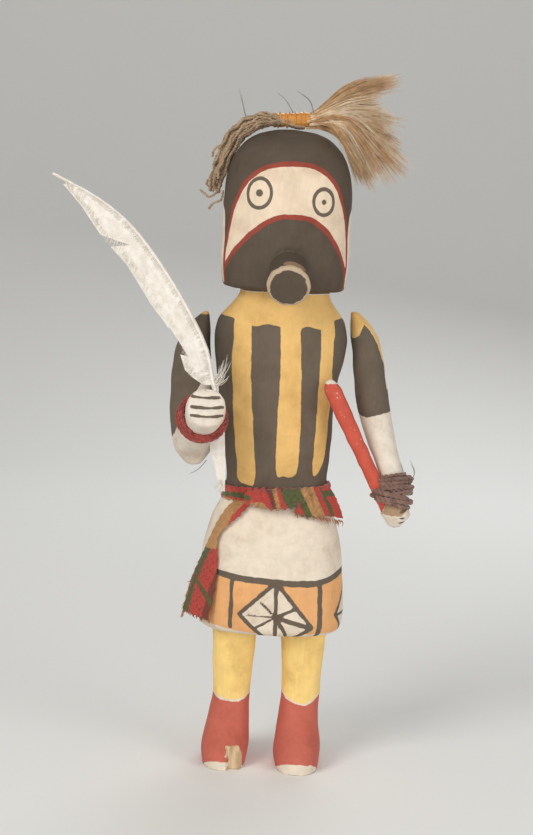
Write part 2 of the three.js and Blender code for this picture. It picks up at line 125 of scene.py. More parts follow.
add_camera()
add_soft_light("key_light", (-0.75, -0.95, 0.85), 0.7, 9.5, (1.0, 0.97, 0.93))
add_soft_light("fill_light", (0.95, -0.75, 0.45), 0.9, 4.6, (1.0, 0.98, 0.95))
add_soft_light("front_light", (0.05, -1.25, 0.35), 0.6, 3.0, (1.0, 0.98, 0.95))
add_soft_light("back_light", (0.25, 0.95, 0.75), 0.8, 4.0, (0.97, 0.98, 1.0))
world = bpy.data.worlds.new("studio")
bpy.context.scene.world = world
world.use_nodes = True
world.node_tree.nodes["Background"].inputs["Color"].default_value = (0.80, 0.80, 0.80, 1)
world.node_tree.nodes["Background"].inputs["Strength"].default_value = 0.36
bpy.context.scene.view_settings.view_transform = "Standard"
print("camera lens:", bpy.context.scene.camera.data.lens, "mm")

# %% [markdown]
# Node trees are long when each node takes five lines. This small helper adds a node, sets its
# properties and plugs in sockets or plain values, so a material below reads like a sentence.

# %% A short way to write node trees
class Nodes:
    """Adds nodes to one tree. Inputs are given as sockets or as plain values."""

    def __init__(self, tree):
        self.tree = tree

    def add(self, kind, inputs=(), **settings):
        node = self.tree.nodes.new(kind)
        for name, value in settings.items():
            setattr(node, name, value)
        for name, value in dict(inputs).items():
            if isinstance(value, bpy.types.NodeSocket):
                self.tree.links.new(value, node.inputs[name])
            else:
                node.inputs[name].default_value = value
        return node

    def math(self, operation, a, b=0.0):
        return self.add("ShaderNodeMath", {0: a, 1: b}, operation=operation).outputs[0]

    def vector(self, operation, a, b=(0, 0, 0)):
        return self.add("ShaderNodeVectorMath", {0: a, 1: b}, operation=operation).outputs[0]

    def mix(self, share, a, b, blend="MIX"):
        node = self.add("ShaderNodeMix", {0: share, 6: a, 7: b}, data_type="RGBA", blend_type=blend)
        return node.outputs[2]

    def step(self, value, low, high):
        """A smooth step from 0 at low to 1 at high."""
        inputs = {"Value": value, "From Min": low, "From Max": high}
        return self.add("ShaderNodeMapRange", inputs, interpolation_type="SMOOTHSTEP").outputs[0]

    def noise(self, place, scale, seed=0.0, detail=3.0, roughness=0.55):
        inputs = {"Vector": place, "W": seed, "Scale": scale, "Detail": detail, "Roughness": roughness}
        return self.add("ShaderNodeTexNoise", inputs, noise_dimensions="4D").outputs["Fac"]

    def attribute(self, name):
        return self.add("ShaderNodeAttribute", attribute_name=name).outputs["Fac"]

    def millimetres(self):
        """Object coordinates in millimetres."""
        place = self.add("ShaderNodeTexCoord").outputs["Object"]
        return self.vector("MULTIPLY", place, (1 / MM, 1 / MM, 1 / MM))


def rgba(colour):
    return (*colour, 1.0)


def start_group(name, inputs, outputs):
    """An empty shader node group with typed, named sockets."""
    group = bpy.data.node_groups.new(name, "ShaderNodeTree")
    for socket_name, kind in inputs.items():
        group.interface.new_socket(socket_name, in_out="INPUT", socket_type="NodeSocket" + kind)
    for socket_name, kind in outputs.items():
        group.interface.new_socket(socket_name, in_out="OUTPUT", socket_type="NodeSocket" + kind)
    nodes = Nodes(group)
    given = nodes.add("NodeGroupInput").outputs
    wanted = nodes.add("NodeGroupOutput").inputs
    return group, nodes, given, wanted


# %% [markdown]
# The paint is thin mineral colour brushed over a white clay ground. Each layer of it is one instance of
# the same group. It takes the colour beneath, its own colour, and an edge value in millimetres that is
# positive inside the painted shape. Noise makes the edge waver, long streaks thin the paint along the
# brush, and chips let what lies beneath show.

# %% Paint layer group
def paint_layer_group():
    group, n, given, wanted = start_group(
        "Paint layer",
        {
            "Beneath": "Color", "Paint": "Color", "Edge": "Float", "Waver": "Float", "Streaks": "Float",
            "Chips": "Float", "Place": "Vector", "Seed": "Float",
        },
        {"Colour": "Color", "Cover": "Float"},
    )
    spot, seed = given["Place"], given["Seed"]
    along_brush = n.vector("MULTIPLY", spot, (1.0, 1.0, 0.09))
    waver = n.math("SUBTRACT", n.noise(spot, 0.22, seed), 0.5)
    ragged = n.math("SUBTRACT", n.noise(spot, 1.1, seed, detail=4), 0.5)
    shift = n.math("MULTIPLY", n.math("ADD", n.math("MULTIPLY", waver, 2.6), ragged), given["Waver"])
    inside = n.step(n.math("ADD", given["Edge"], shift), -0.16, 0.16)
    streak = n.step(n.noise(along_brush, 1.3, seed, detail=5, roughness=0.65), 0.60, 0.92)
    thin = n.math("MULTIPLY", streak, given["Streaks"])
    pits = n.noise(spot, 0.75, seed, detail=6, roughness=0.72)
    limit = n.math("SUBTRACT", 0.80, n.math("MULTIPLY", given["Chips"], 0.34))
    chips = n.step(n.math("SUBTRACT", pits, limit), 0.0, 0.05)
    cover = n.math("MULTIPLY", inside, n.math("SUBTRACT", 1.0, n.math("MAXIMUM", thin, chips)))
    body = n.noise(spot, 0.12, seed, detail=4, roughness=0.6)
    strokes = n.noise(along_brush, 0.9, seed, detail=4, roughness=0.6)
    tone = n.math("ADD", n.math("MULTIPLY", body, 0.40), n.math("MULTIPLY", strokes, 0.20))
    tone = n.math("ADD", tone, 0.70)
    grey = n.add("ShaderNodeCombineColor", {0: tone, 1: tone, 2: tone}).outputs[0]
    varied = n.mix(1.0, given["Paint"], grey, blend="MULTIPLY")
    n.tree.links.new(n.mix(cover, given["Beneath"], varied), wanted["Colour"])
    n.tree.links.new(cover, wanted["Cover"])
    return group


PAINT_LAYER = paint_layer_group()
print("made", PAINT_LAYER.name)

# %% [markdown]
# Under the paint there is wood and ground. One group gives the bare cottonwood, pale brown with fine
# upright fibres. Another soils any colour with soft brown stains and small dark specks, because an old
# doll has been handled for years. Both are masks and colours only, so the shader itself stays in the
# material.

# %% Bare wood and soiling groups
def bare_wood_group():
    group, n, given, wanted = start_group(
        "Bare cottonwood", {"Place": "Vector"}, {"Colour": "Color", "Grain": "Float"}
    )
    fibres = n.vector("MULTIPLY", given["Place"], (1.0, 1.0, 0.05))
    fine = n.noise(fibres, 2.4, 3.0, detail=5, roughness=0.7)
    broad = n.noise(fibres, 0.5, 8.0, detail=3)
    colour = n.mix(fine, rgba((0.62, 0.43, 0.24)), rgba((0.27, 0.16, 0.08)))
    colour = n.mix(n.step(broad, 0.35, 0.7), colour, rgba((0.70, 0.53, 0.33)))
    n.tree.links.new(colour, wanted["Colour"])
    n.tree.links.new(fine, wanted["Grain"])
    return group


def soiling_group():
    group, n, given, wanted = start_group(
        "Soiling", {"Colour": "Color", "Stains": "Float", "Specks": "Float", "Place": "Vector"},
        {"Colour": "Color"},
    )
    spot = given["Place"]
    cloud = n.step(n.noise(spot, 0.06, 21.0, detail=5, roughness=0.62), 0.46, 0.72)
    stain = n.math("MULTIPLY", cloud, given["Stains"])
    colour = n.mix(stain, given["Colour"], rgba((0.47, 0.29, 0.15)), blend="MULTIPLY")
    dots = n.step(n.noise(spot, 1.7, 33.0, detail=2, roughness=0.5), 0.72, 0.76)
    colour = n.mix(n.math("MULTIPLY", dots, given["Specks"]), colour, rgba((0.10, 0.065, 0.04)))
    n.tree.links.new(colour, wanted["Colour"])
    return group


BARE_WOOD = bare_wood_group()
SOILING = soiling_group()
print("made", BARE_WOOD.name, "and", SOILING.name)

# %% [markdown]
# A painted material is now only a list: the ground first, then one line for each layer with the
# attribute that holds its edge. Where the wood turns sharply, the attribute `crease` is high, and there
# the paint has rubbed through to the ground and the wood.

# %% Painted wood material
GROUND = (0.80, 0.70, 0.57)


def painted_wood(name, layers, ground=GROUND, stains=0.35, specks=0.25, edge_wear=0.6, bareness="bare"):
    """Each layer is (attribute, colour, waver in mm, streaks 0-1, chips 0-1)."""
    material = bpy.data.materials.new(name)
    material.use_nodes = True
    n = Nodes(material.node_tree)
    shader = n.tree.nodes["Principled BSDF"]
    spot = n.millimetres()
    wood = n.add("ShaderNodeGroup", {"Place": spot}, node_tree=BARE_WOOD)
    mottle = n.noise(spot, 0.3, 2.0, detail=5, roughness=0.65)
    colour = n.mix(n.step(mottle, 0.3, 0.75), rgba(ground), rgba([c * 0.86 for c in ground]))
    covers = []
    for index, (attribute, paint, waver, streaks, chips) in enumerate(layers):
        inputs = {
            "Beneath": colour, "Paint": rgba(paint), "Edge": n.attribute(attribute), "Waver": waver,
            "Streaks": streaks, "Chips": chips, "Place": spot, "Seed": 1.7 * index + 0.5,
        }
        layer = n.add("ShaderNodeGroup", inputs, node_tree=PAINT_LAYER)
        colour = layer.outputs["Colour"]
        covers.append(layer.outputs["Cover"])
    soiled = n.add("ShaderNodeGroup", {"Colour": colour, "Stains": stains, "Specks": specks, "Place": spot},
                   node_tree=SOILING)
    rub = n.noise(spot, 0.55, 5.0, detail=5, roughness=0.7)
    worn = n.step(n.math("ADD", n.math("MULTIPLY", n.attribute("crease"), edge_wear), rub), 0.86, 1.02)
    colour = n.mix(worn, soiled.outputs["Colour"], rgba([c * 1.02 for c in ground]))
    bare = n.step(n.math("ADD", n.attribute(bareness), n.math("MULTIPLY", n.math("SUBTRACT", rub, 0.5), 2.4)),
                  -0.15, 0.25)
    colour = n.mix(bare, colour, wood.outputs["Colour"])
    n.tree.links.new(colour, shader.inputs["Base Color"])
    depth = n.math("MULTIPLY", n.noise(spot, 1.6, 6.0, detail=5, roughness=0.7), 0.5)
    strokes = n.noise(n.vector("MULTIPLY", spot, (1.0, 1.0, 0.08)), 1.6, 4.0, detail=4)
    depth = n.math("ADD", depth, n.math("MULTIPLY", strokes, 0.2))
    depth = n.math("ADD", depth, n.math("MULTIPLY", n.math("MULTIPLY", bare, wood.outputs["Grain"]), 1.5))
    for cover in covers:
        depth = n.math("ADD", depth, n.math("MULTIPLY", cover, 0.18))
    bump = n.add("ShaderNodeBump", {"Height": depth, "Strength": 0.55, "Distance": 0.22 * MM})
    n.tree.links.new(bump.outputs["Normal"], shader.inputs["Normal"])
    shader.inputs["Roughness"].default_value = 0.78
    shader.inputs["Specular IOR Level"].default_value = 0.28
    return material


print("paint layers are ready")

# %% [markdown]
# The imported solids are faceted. A fine carved copy of one is made in three steps. Blender's voxel
# remesh turns it into even small faces. Then each point moves towards the middle of its neighbours, but
# only where the form is smooth, so that edges stay crisp. Last, a low relief of knife work is added along
# the normals. The relief is a sum of sines in scattered directions, which needs no texture and gives the
# same result each run.

# %% Fine copies of the wooden solids
def new_object(name, mesh):
    piece = bpy.data.objects.new(name, mesh)
    bpy.context.collection.objects.link(piece)
    return piece


def bake(piece):
    """Turns a piece with modifiers into one plain mesh and takes the modifiers off."""
    evaluated = piece.evaluated_get(bpy.context.evaluated_depsgraph_get())
    mesh = bpy.data.meshes.new_from_object(evaluated)
    piece.modifiers.clear()
    piece.data = mesh
    return piece


def read_points(mesh):
    points = np.empty(len(mesh.vertices) * 3)
    mesh.vertices.foreach_get("co", points)
    return points.reshape(-1, 3)


def read_normals(mesh):
    normals = np.empty(len(mesh.vertices) * 3)
    mesh.vertices.foreach_get("normal", normals)
    return normals.reshape(-1, 3)


def write_points(mesh, points):
    mesh.vertices.foreach_set("co", points.ravel())
    mesh.update()


def write_field(mesh, name, values):
    """One number for each point, which a material reads by its name."""
    layer = mesh.attributes.new(name, "FLOAT", "POINT")
    layer.data.foreach_set("value", np.asarray(values, np.float32))


def neighbour_mean(mesh):
    """A function that averages any values over each point's neighbours."""
    ends = np.empty(len(mesh.edges) * 2, int)
    mesh.edges.foreach_get("vertices", ends)
    start, stop = ends.reshape(-1, 2).T
    count = len(mesh.vertices)
    degree = np.bincount(start, minlength=count) + np.bincount(stop, minlength=count)

    def mean(values):
        sums = [
            np.bincount(start, column[stop], count) + np.bincount(stop, column[start], count)
            for column in values.T
        ]
        return np.stack(sums, 1) / np.maximum(degree, 1)[:, None]

    return mean


def knife_relief(points, wavelength, seed):
    """A gentle uneven surface between about -1 and 1, made of sines in scattered directions."""
    random = np.random.default_rng(seed)
    height = np.zeros(len(points))
    count = 9
    for _ in range(count):
        direction = random.normal(size=3)
        direction /= np.linalg.norm(direction) * wavelength * random.uniform(0.6, 1.5)
        height += np.sin(points @ direction * 2 * np.pi + random.uniform(0, 2 * np.pi))
    return height / math.sqrt(count)


def carved_copy(node, voxel, passes, relief=0.12, wavelength=13, grooves=None, plug=None):
    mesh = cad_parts[node].data.copy()
    shell = bmesh.new()
    shell.from_mesh(mesh)
    bmesh.ops.remove_doubles(shell, verts=shell.verts, dist=0.01 * MM)
    if plug is not None:
        start, end, radius = plug
        middle = (Vector(start) + Vector(end)) / 2
        turn = (Vector(end) - Vector(start)).to_track_quat("Z", "Y").to_matrix().to_4x4()
        length = (Vector(end) - Vector(start)).length * MM
        bmesh.ops.create_cone(shell, cap_ends=True, segments=32, radius1=radius * MM, radius2=radius * MM,
                              depth=length, matrix=Matrix.Translation(place(*middle)) @ turn)
    shell.to_mesh(mesh)
    shell.free()
    piece = new_object(node + "_wood", mesh)
    remesh = piece.modifiers.new("even faces", "REMESH")
    remesh.mode = "VOXEL"
    remesh.voxel_size = voxel * MM
    remesh.use_smooth_shade = True
    bake(piece)
    mesh = piece.data
    mean = neighbour_mean(mesh)
    normals = read_normals(mesh)
    turn = 1 - np.einsum("ij,ij->i", normals, mean(normals))
    crease = np.clip((mean(mean(turn[:, None]))[:, 0] - 0.012) / 0.06, 0, 1)
    points = to_doll(read_points(mesh))
    give = (1 - crease)[:, None]
    for _ in range(passes):
        points += 0.6 * give * (mean(points) - points)
    points += 0.25 * (mean(points) - points)
    write_points(mesh, to_scene(points))
    normals = read_normals(mesh)
    height = relief * knife_relief(points, wavelength, seed=len(node))
    if grooves is not None:
        height -= grooves(points)
    points += normals * height[:, None]
    write_points(mesh, to_scene(points))
    write_field(mesh, "crease", mean(mean(crease[:, None]))[:, 0])
    triangles = sum(len(p.vertices) - 2 for p in mesh.polygons)
    print(piece.name, "triangles:", triangles)
    return piece, points


# %% [markdown]
# Paint follows outlines, and each outline is drawn as it is seen from the front, in x and z. On a round
# body that view squeezes what lies near the sides. So outlines and surface points are both unrolled
# first: x and y become the girth, the distance round the body from its front, as a tape would measure
# it. The body's section is a superellipse, a shape between an ellipse and a rectangle.

# %% Unrolling a round body
def signed_power(value, power):
    return np.sign(value) * np.abs(value) ** power


class Wrap:
    """Unrolls a body whose level section is a superellipse between left and right, front and back."""

    def __init__(self, power, section):
        self.power = power
        self.section = section
        turn = np.linspace(0, math.pi, 721)
        _, _, half_width, half_depth = (float(np.mean(v)) for v in section(np.zeros(1)))
        x = half_width * np.abs(np.sin(turn)) ** (2 / power)
        y = half_depth * signed_power(-np.cos(turn), 2 / power)
        steps = np.hypot(np.diff(x), np.diff(y)) / half_width
        self.turns = turn
        self.lengths = np.concatenate([[0], np.cumsum(steps)])

    def girth(self, x, y, z):
        middle_x, middle_y, half_width, half_depth = self.section(z)
        across = signed_power((x - middle_x) / half_width, self.power / 2)
        away = -signed_power((y - middle_y) / half_depth, self.power / 2)
        turn = np.arctan2(np.abs(across), away)
        return np.sign(across) * np.interp(turn, self.turns, self.lengths) * half_width

    def front_girth(self, x, z):
        """The girth of a place that is seen at x from the front."""
        middle_x, middle_y, half_width, half_depth = self.section(z)
        across = np.clip((x - middle_x) / half_width, -1, 1)
        reach = (1 - np.abs(across) ** self.power) ** (1 / self.power)
        return self.girth(middle_x + across * half_width, middle_y - reach * half_depth, z)

    def side_girth(self, z):
        """The girth of the body's side, half way from its front to its back."""
        return np.interp(math.pi / 2, self.turns, self.lengths) * self.section(z)[2]

    def unroll(self, outline):
        """An outline's points [x, z], seen from the front, as [girth, z]."""
        x, z = np.asarray(outline, float).T
        return np.stack([self.front_girth(x, z), z], 1)


def smooth_line(points, closed=False, steps=8):
    """A flowing line through the points: a Catmull-Rom spline."""
    points = np.asarray(points, float)
    if closed:
        ring = np.concatenate([points[-1:], points, points[:2]])
    else:
        ring = np.concatenate([2 * points[:1] - points[1:2], points, 2 * points[-1:] - points[-2:-1]])
    t = np.linspace(0, 1, steps, endpoint=False)[:, None]
    pieces = [
        0.5 * (2 * b + (c - a) * t + (2 * a - 5 * b + 4 * c - d) * t**2 + (3 * b - a - 3 * c + d) * t**3)
        for a, b, c, d in zip(ring[:-3], ring[1:-2], ring[2:-1], ring[3:])
    ]
    line = np.concatenate(pieces)
    return line if closed else np.concatenate([line, points[-1:]])


def distance_to_line(points, line):
    """The distance of each point to a line of straight steps. Works in two or three dimensions."""
    nearest = np.full(len(points), np.inf)
    for a, b in zip(line[:-1], line[1:]):
        step = b - a
        share = np.clip((points - a) @ step / max(step @ step, 1e-12), 0, 1)
        nearest = np.minimum(nearest, np.linalg.norm(points - a - share[:, None] * step, axis=1))
    return nearest


def distance_inside(points, outline):
    """How far each point lies inside a closed outline. It is negative outside."""
    ring = np.concatenate([outline, outline[:1]])
    inside = np.zeros(len(points), bool)
    u, v = points.T
    for (u1, v1), (u2, v2) in zip(ring[:-1], ring[1:]):
        crosses = (v1 > v) != (v2 > v)
        slope = (u2 - u1) / (v2 - v1) if v2 != v1 else 0.0
        inside ^= crosses & (u < u1 + (v - v1) * slope)
    distance = distance_to_line(points, ring)
    return np.where(inside, distance, -distance)


# %% [markdown]
# The figure is one carving, so it is one mesh. Its mask has one section from bottom to spring line,
# while the torso and kilt change with height, so their section is measured on
# the carved copy itself, level by level.

# %% Carve the figure
SNOUT_ROOT = np.array([0.4, -27, 237.4])
SNOUT_DROOP = math.radians(24.5)
SNOUT_AXIS = np.array([0, -math.cos(SNOUT_DROOP), -math.sin(SNOUT_DROOP)])
PLUG_DEPTH, PLUG_PROUD, PLUG_RADIUS = 6.5, 0.6, 9.2
GLUED_REACH = 14
# The glued snout fills its socket, so a plug closes the hole behind it.
socket_plug = (SNOUT_ROOT - PLUG_DEPTH * SNOUT_AXIS, SNOUT_ROOT + PLUG_PROUD * SNOUT_AXIS, PLUG_RADIUS)
figure, figure_points = carved_copy("carved_figure", voxel=0.86, passes=26, relief=0.14, plug=socket_plug)
# The socket's rim is glued over, so its paint isn't rubbed through.
rim_crease = np.empty(len(figure_points))
figure.data.attributes["crease"].data.foreach_get("value", rim_crease)
rim_crease[np.linalg.norm(figure_points - SNOUT_ROOT, axis=1) < GLUED_REACH] = 0
figure.data.attributes["crease"].data.foreach_set("value", rim_crease)
px, py, pz = figure_points.T

MASK_FOOT = 226.4
MASK_SPRING = 266
MASK_MIDDLE = -1.7
MASK_HALF_WIDTH = 30.2
MASK_PLAN_POWER = 2.35
BODY_PLAN_POWER = 2.4
on_mask = pz > MASK_FOOT - 1.2
mask_wrap = Wrap(MASK_PLAN_POWER, lambda z: (
    np.full_like(z, MASK_MIDDLE),
    np.zeros_like(z),
    np.full_like(z, MASK_HALF_WIDTH),
    np.full_like(z, MASK_HALF_DEPTH),
))


def body_section():
    """The torso and kilt's middle and half sizes, measured every two millimetres of height."""
    levels = np.arange(66.0, 224.0, 2.0)
    rows = []
    for level in levels:
        near = np.abs(pz - level) < 1.2
        sides = (px[near].min(), px[near].max(), py[near].min(), py[near].max())
        rows.append(((sides[0] + sides[1]) / 2, (sides[2] + sides[3]) / 2, (sides[1] - sides[0]) / 2,
                     (sides[3] - sides[2]) / 2))
    table = np.array(rows).T
    return lambda z: tuple(np.interp(z, levels, column) for column in table)


body_wrap = Wrap(BODY_PLAN_POWER, body_section())
print("figure points:", len(figure_points), "side girth of the kilt:", body_wrap.side_girth(np.array([75.0])))

# %% [markdown]
# The mask is a black hood round a pale face. Two red arcs frame the face: a tall one under the hood and
# a low one over the black muzzle. Each arc is drawn as its middle line, and the red band is whatever lies
# within a millimetre or so of it. A pale panel sits on each side of the mask. The eyes are rings with a
# dot, each a little different.

# %% Paint on the mask
UPPER_ARC = [(-30.3, 230), (-29.8, 242), (-28.2, 256), (-25.6, 267), (-20.4, 277), (-12, 282.7), (0, 284.4),
             (11, 283.5), (18.5, 278.4), (23.4, 269), (26, 256), (27, 243), (27.3, 230)]
LOWER_ARC = [(-31, 231), (-28.6, 238.4), (-22.6, 247.2), (-14.6, 255), (-6, 259.8), (1.5, 260.6),
             (9.8, 259.4), (17, 254.3), (22.6, 246.2), (26.4, 236.8), (27.8, 231)]
ARC_HALF_WIDTH = 1.15
SIDE_PANEL = [(-10, 231), (-10.5, 258), (-6, 264.5), (0, 266), (6, 264.5), (10.5, 258), (10, 231), (0, 229.6)]
# Each eye: the ring's middle, its half sizes, half the thickness of its line, and the dot's radius.
EYES = [((-15.1, 270.7), (5.8, 6.7), 0.85, 1.75), ((14.9, 268.0), (5.1, 5.9), 0.85, 1.25)]
FAR_OUTSIDE = -60.0


def under(arc, floor=215):
    """The outline of everything below an arc."""
    line = smooth_line(arc)
    return np.concatenate([line, [(line[-1, 0], floor), (line[0, 0], floor)]])


def ring_distance(places, centre, half_sizes):
    """The distance from an ellipse's line, good enough near the line."""
    offset = (places - centre) / half_sizes
    radius = np.linalg.norm(offset, axis=1)
    return (radius - 1) * np.mean(half_sizes)


def on_part(part, values):
    """Spreads values worked out on one part of the figure to all of its points."""
    field = np.full(len(part), FAR_OUTSIDE)
    field[part] = values
    return field


mask_place = np.stack([mask_wrap.girth(px, py, pz), pz], 1)[on_mask]
face_inside = distance_inside(mask_place, mask_wrap.unroll(under(UPPER_ARC)))
muzzle_inside = distance_inside(mask_place, mask_wrap.unroll(under(LOWER_ARC)))
from_side = np.abs(mask_place[:, 0]) - mask_wrap.side_girth(mask_place[:, 1])
side_place = np.stack([from_side, mask_place[:, 1]], 1)
panel_inside = distance_inside(side_place, smooth_line(SIDE_PANEL, closed=True))
red_arcs = np.maximum(
    ARC_HALF_WIDTH - np.abs(face_inside),
    np.minimum(ARC_HALF_WIDTH - np.abs(muzzle_inside), face_inside + ARC_HALF_WIDTH),
)
eye_ink = np.full(len(mask_place), FAR_OUTSIDE)
for centre, half_sizes, half_line, dot in EYES:
    middle = mask_wrap.unroll([centre])[0]
    ring = half_line - np.abs(ring_distance(mask_place, middle, half_sizes))
    eye_ink = np.maximum(eye_ink, np.maximum(ring, dot - np.linalg.norm(mask_place - middle, axis=1)))

in_front = py[on_mask] < 4
write_field(figure.data, "face", on_part(on_mask, face_inside))
write_field(figure.data, "hood", on_part(on_mask, np.minimum(-face_inside, -panel_inside)))
write_field(figure.data, "muzzle", on_part(on_mask, np.minimum(muzzle_inside, face_inside)))
write_field(figure.data, "red_arcs", on_part(on_mask, red_arcs))
write_field(figure.data, "eyes", on_part(on_mask, np.where(in_front, eye_ink, FAR_OUTSIDE)))
print("mask points:", int(on_mask.sum()))

# %% [markdown]
# The torso is black with yellow stripes that run up into a yellow yoke. The stripes are drawn for the
# front. The back wears the same ones, because its girth is folded: a point behind the side line reads
# the pattern of the point in front of it.

# %% Paint on the torso
YELLOW_STRIPES = [
    [(-22.7, 220), (-24, 199), (-22.3, 171), (-19.8, 146), (-18.6, 137.4), (-15, 135), (-10.6, 136),
     (-11.6, 152), (-13.6, 172), (-15.3, 200), (-16.9, 220)],
    [(-1.8, 220), (-1.1, 190), (-1.4, 165), (-0.7, 141.6), (3, 139.8), (7, 139.8), (9.3, 145), (9.5, 170),
     (8.6, 188), (6.1, 220)],
    [(16.6, 220), (17.6, 202), (17.1, 184), (16.7, 160), (16.5, 142), (18.6, 141), (21.2, 147), (22.5, 158),
     (23, 173), (23.5, 193), (22.6, 220)],
]
YOKE_EDGE = [(-33, 213.6), (-26, 212.8), (-20, 211), (-14, 209.4), (-8, 210.6), (-1.7, 209.7), (6.2, 209.2),
             (11, 210.4), (17, 209.4), (23, 213.2), (29, 214.6)]
WAIST = 129.6


def fold_behind(girth, side):
    """Gives a point behind the side line the girth of the point in front of it."""
    return np.sign(girth) * (side - np.abs(np.abs(girth) - side))


on_torso = (pz > WAIST - 6) & ~on_mask
torso_x, torso_y, torso_z = figure_points[on_torso].T
girth = body_wrap.girth(torso_x, torso_y, torso_z)
side = body_wrap.side_girth(torso_z)
folded = fold_behind(girth, side)
torso_place = np.stack([folded, torso_z], 1)
yoke_line = body_wrap.unroll(smooth_line(YOKE_EDGE))
yellow = torso_z - np.interp(folded, yoke_line[:, 0], yoke_line[:, 1])
for stripe in YELLOW_STRIPES:
    outline = body_wrap.unroll(smooth_line(stripe, closed=True))
    yellow = np.maximum(yellow, distance_inside(torso_place, outline))
write_field(figure.data, "torso_yellow", on_part(on_torso, np.minimum(yellow + 0.3, torso_z - WAIST)))
write_field(figure.data, "torso_black", on_part(on_torso, np.minimum(-yellow, torso_z - WAIST)))
print("torso points:", int(on_torso.sum()))

# %% [markdown]
# The kilt is white, with an orange border under a grey line. In the border there are four diamonds, one
# each way, crossed by spokes, with an upright bar between them in front and behind. All dark lines share
# one attribute: for each, half its width less the distance to its middle line, and the largest value
# wins.

# %% Paint on the kilt
BAND_LINE = [(-33, 95.4), (-27, 93.5), (-18, 92.1), (-8, 91.3), (2, 90.8), (12, 90.4), (20, 90.5), (27, 92.2),
             (33, 95.0)]
BAND_HALF_WIDTH = 1.5
HUB = (2.4, 74.3)
DIAMOND = [(1.8, 91.0), (-14.8, 74.9), (2.9, 58.5), (19.6, 69.4)]
# Each spoke: where it ends, and half its width.
SPOKES = [((1.9, 90.5), 0.95), ((-4.8, 81.0), 0.6), ((11.6, 78.7), 0.8), ((19.4, 69.4), 1.05),
          ((-12.6, 74.8), 0.45), ((-6.8, 68.8), 0.5), ((2.7, 62.0), 1.0), ((9.8, 62.4), 0.8)]
BARS = [([(-18.8, 92), (-18.7, 68.4)], 0.95), ([(22.4, 90), (23.2, 77), (22.7, 62)], 1.3)]
SIDE_DIAMOND_HALF = (15, 17.5)
SIDE_DIAMOND_HEIGHT = 74.5
BORDER_FOOT = 66.0

on_kilt = (pz < WAIST + 3) & (pz > 63.4)
kilt_x, kilt_y, kilt_z = figure_points[on_kilt].T
girth = body_wrap.girth(kilt_x, kilt_y, kilt_z)
side = body_wrap.side_girth(kilt_z)
folded = fold_behind(girth, side)
kilt_place = np.stack([folded, kilt_z], 1)
band = body_wrap.unroll(smooth_line(BAND_LINE))
band_height = np.interp(folded, band[:, 0], band[:, 1])
diamond = body_wrap.unroll(smooth_line(DIAMOND + DIAMOND[:1], steps=1))
to_side = np.stack([side - np.abs(girth), kilt_z - SIDE_DIAMOND_HEIGHT], 1)
side_diamond = (1 - np.abs(to_side) @ (1 / np.array(SIDE_DIAMOND_HALF))) * 11
ink = BAND_HALF_WIDTH - np.abs(kilt_z - band_height)
ink = np.maximum(ink, np.minimum(1.0 - distance_to_line(kilt_place, diamond), band_height - kilt_z))
ink = np.maximum(ink, 0.9 - np.abs(side_diamond))
ink = np.maximum(ink, np.where(side_diamond > 0, 0.8 - np.abs(to_side).min(axis=1), FAR_OUTSIDE))
for end, half_line in SPOKES:
    ink = np.maximum(ink, half_line - distance_to_line(kilt_place, body_wrap.unroll([HUB, end])))
for line, half_line in BARS:
    ink = np.maximum(ink, half_line - distance_to_line(kilt_place, body_wrap.unroll(smooth_line(line))))
diamonds = np.maximum(distance_inside(kilt_place, diamond), side_diamond)
worn_hem = BORDER_FOOT + 2.6 * np.clip(-kilt_x / 30, -0.3, 1) ** 2
border = np.minimum(band_height - kilt_z, kilt_z - worn_hem)
write_field(figure.data, "border", on_part(on_kilt, np.minimum(border, -diamonds)))
write_field(figure.data, "kilt_ink", on_part(on_kilt, np.minimum(ink, kilt_z - worn_hem + 1.5)))
print("kilt points:", int(on_kilt.sum()))

# %% [markdown]
# The legs are yellow and the boots red. A line of bare ground shows between the two colours, because the
# brush didn't quite reach. The toes are rubbed white, and one toe has split off and shows bare wood.

# %% Paint on the legs
BOOT_TOPS = [(-27, 32.6), (-24, 30.6), (-19, 29.2), (-14, 28.9), (-10, 30.4), (-7, 33.6), (6, 34.8),
             (9.5, 31.4), (14, 29.2), (19, 28.7), (23, 31.0), (27, 34.0)]
GROUND_STRIP = 1.0
BREAK_CORNER = (-17.3, -24.6, 10.6)

on_legs = pz < 66
boot_top = np.interp(px, *np.array(BOOT_TOPS).T)
towards_toe = np.clip((-py - 18) / 12, 0, 1)
toe_rub = 5.2 * towards_toe + np.where(px > 0, 1.3 * np.clip((px - 21) / 6, 0, 1) * towards_toe, 0)
split_off = np.minimum.reduce([px - BREAK_CORNER[0] + 0.8, -7.0 - px, BREAK_CORNER[2] + 0.5 - pz,
                               1.6 - np.abs(py - BREAK_CORNER[1] - 0.6)])
leg_yellow = np.minimum(63.2 - pz, pz - boot_top - GROUND_STRIP)
write_field(figure.data, "leg_yellow", np.where(on_legs, leg_yellow, FAR_OUTSIDE))
write_field(figure.data, "boot_red", np.where(on_legs, np.minimum(boot_top - pz, pz - toe_rub), FAR_OUTSIDE))
write_field(figure.data, "bare", np.maximum(split_off, np.where(pz < 0.35, 0.3, -1.0)))

BLACK = (0.098, 0.073, 0.053)
GREY_BLACK = (0.135, 0.105, 0.078)
BRICK_RED = (0.30, 0.058, 0.038)
CREAM = (0.76, 0.62, 0.47)
YELLOW = (0.76, 0.48, 0.17)
PALE_YELLOW = (0.88, 0.62, 0.22)
ORANGE = (0.76, 0.40, 0.17)
BOOT_RED = (0.54, 0.135, 0.095)

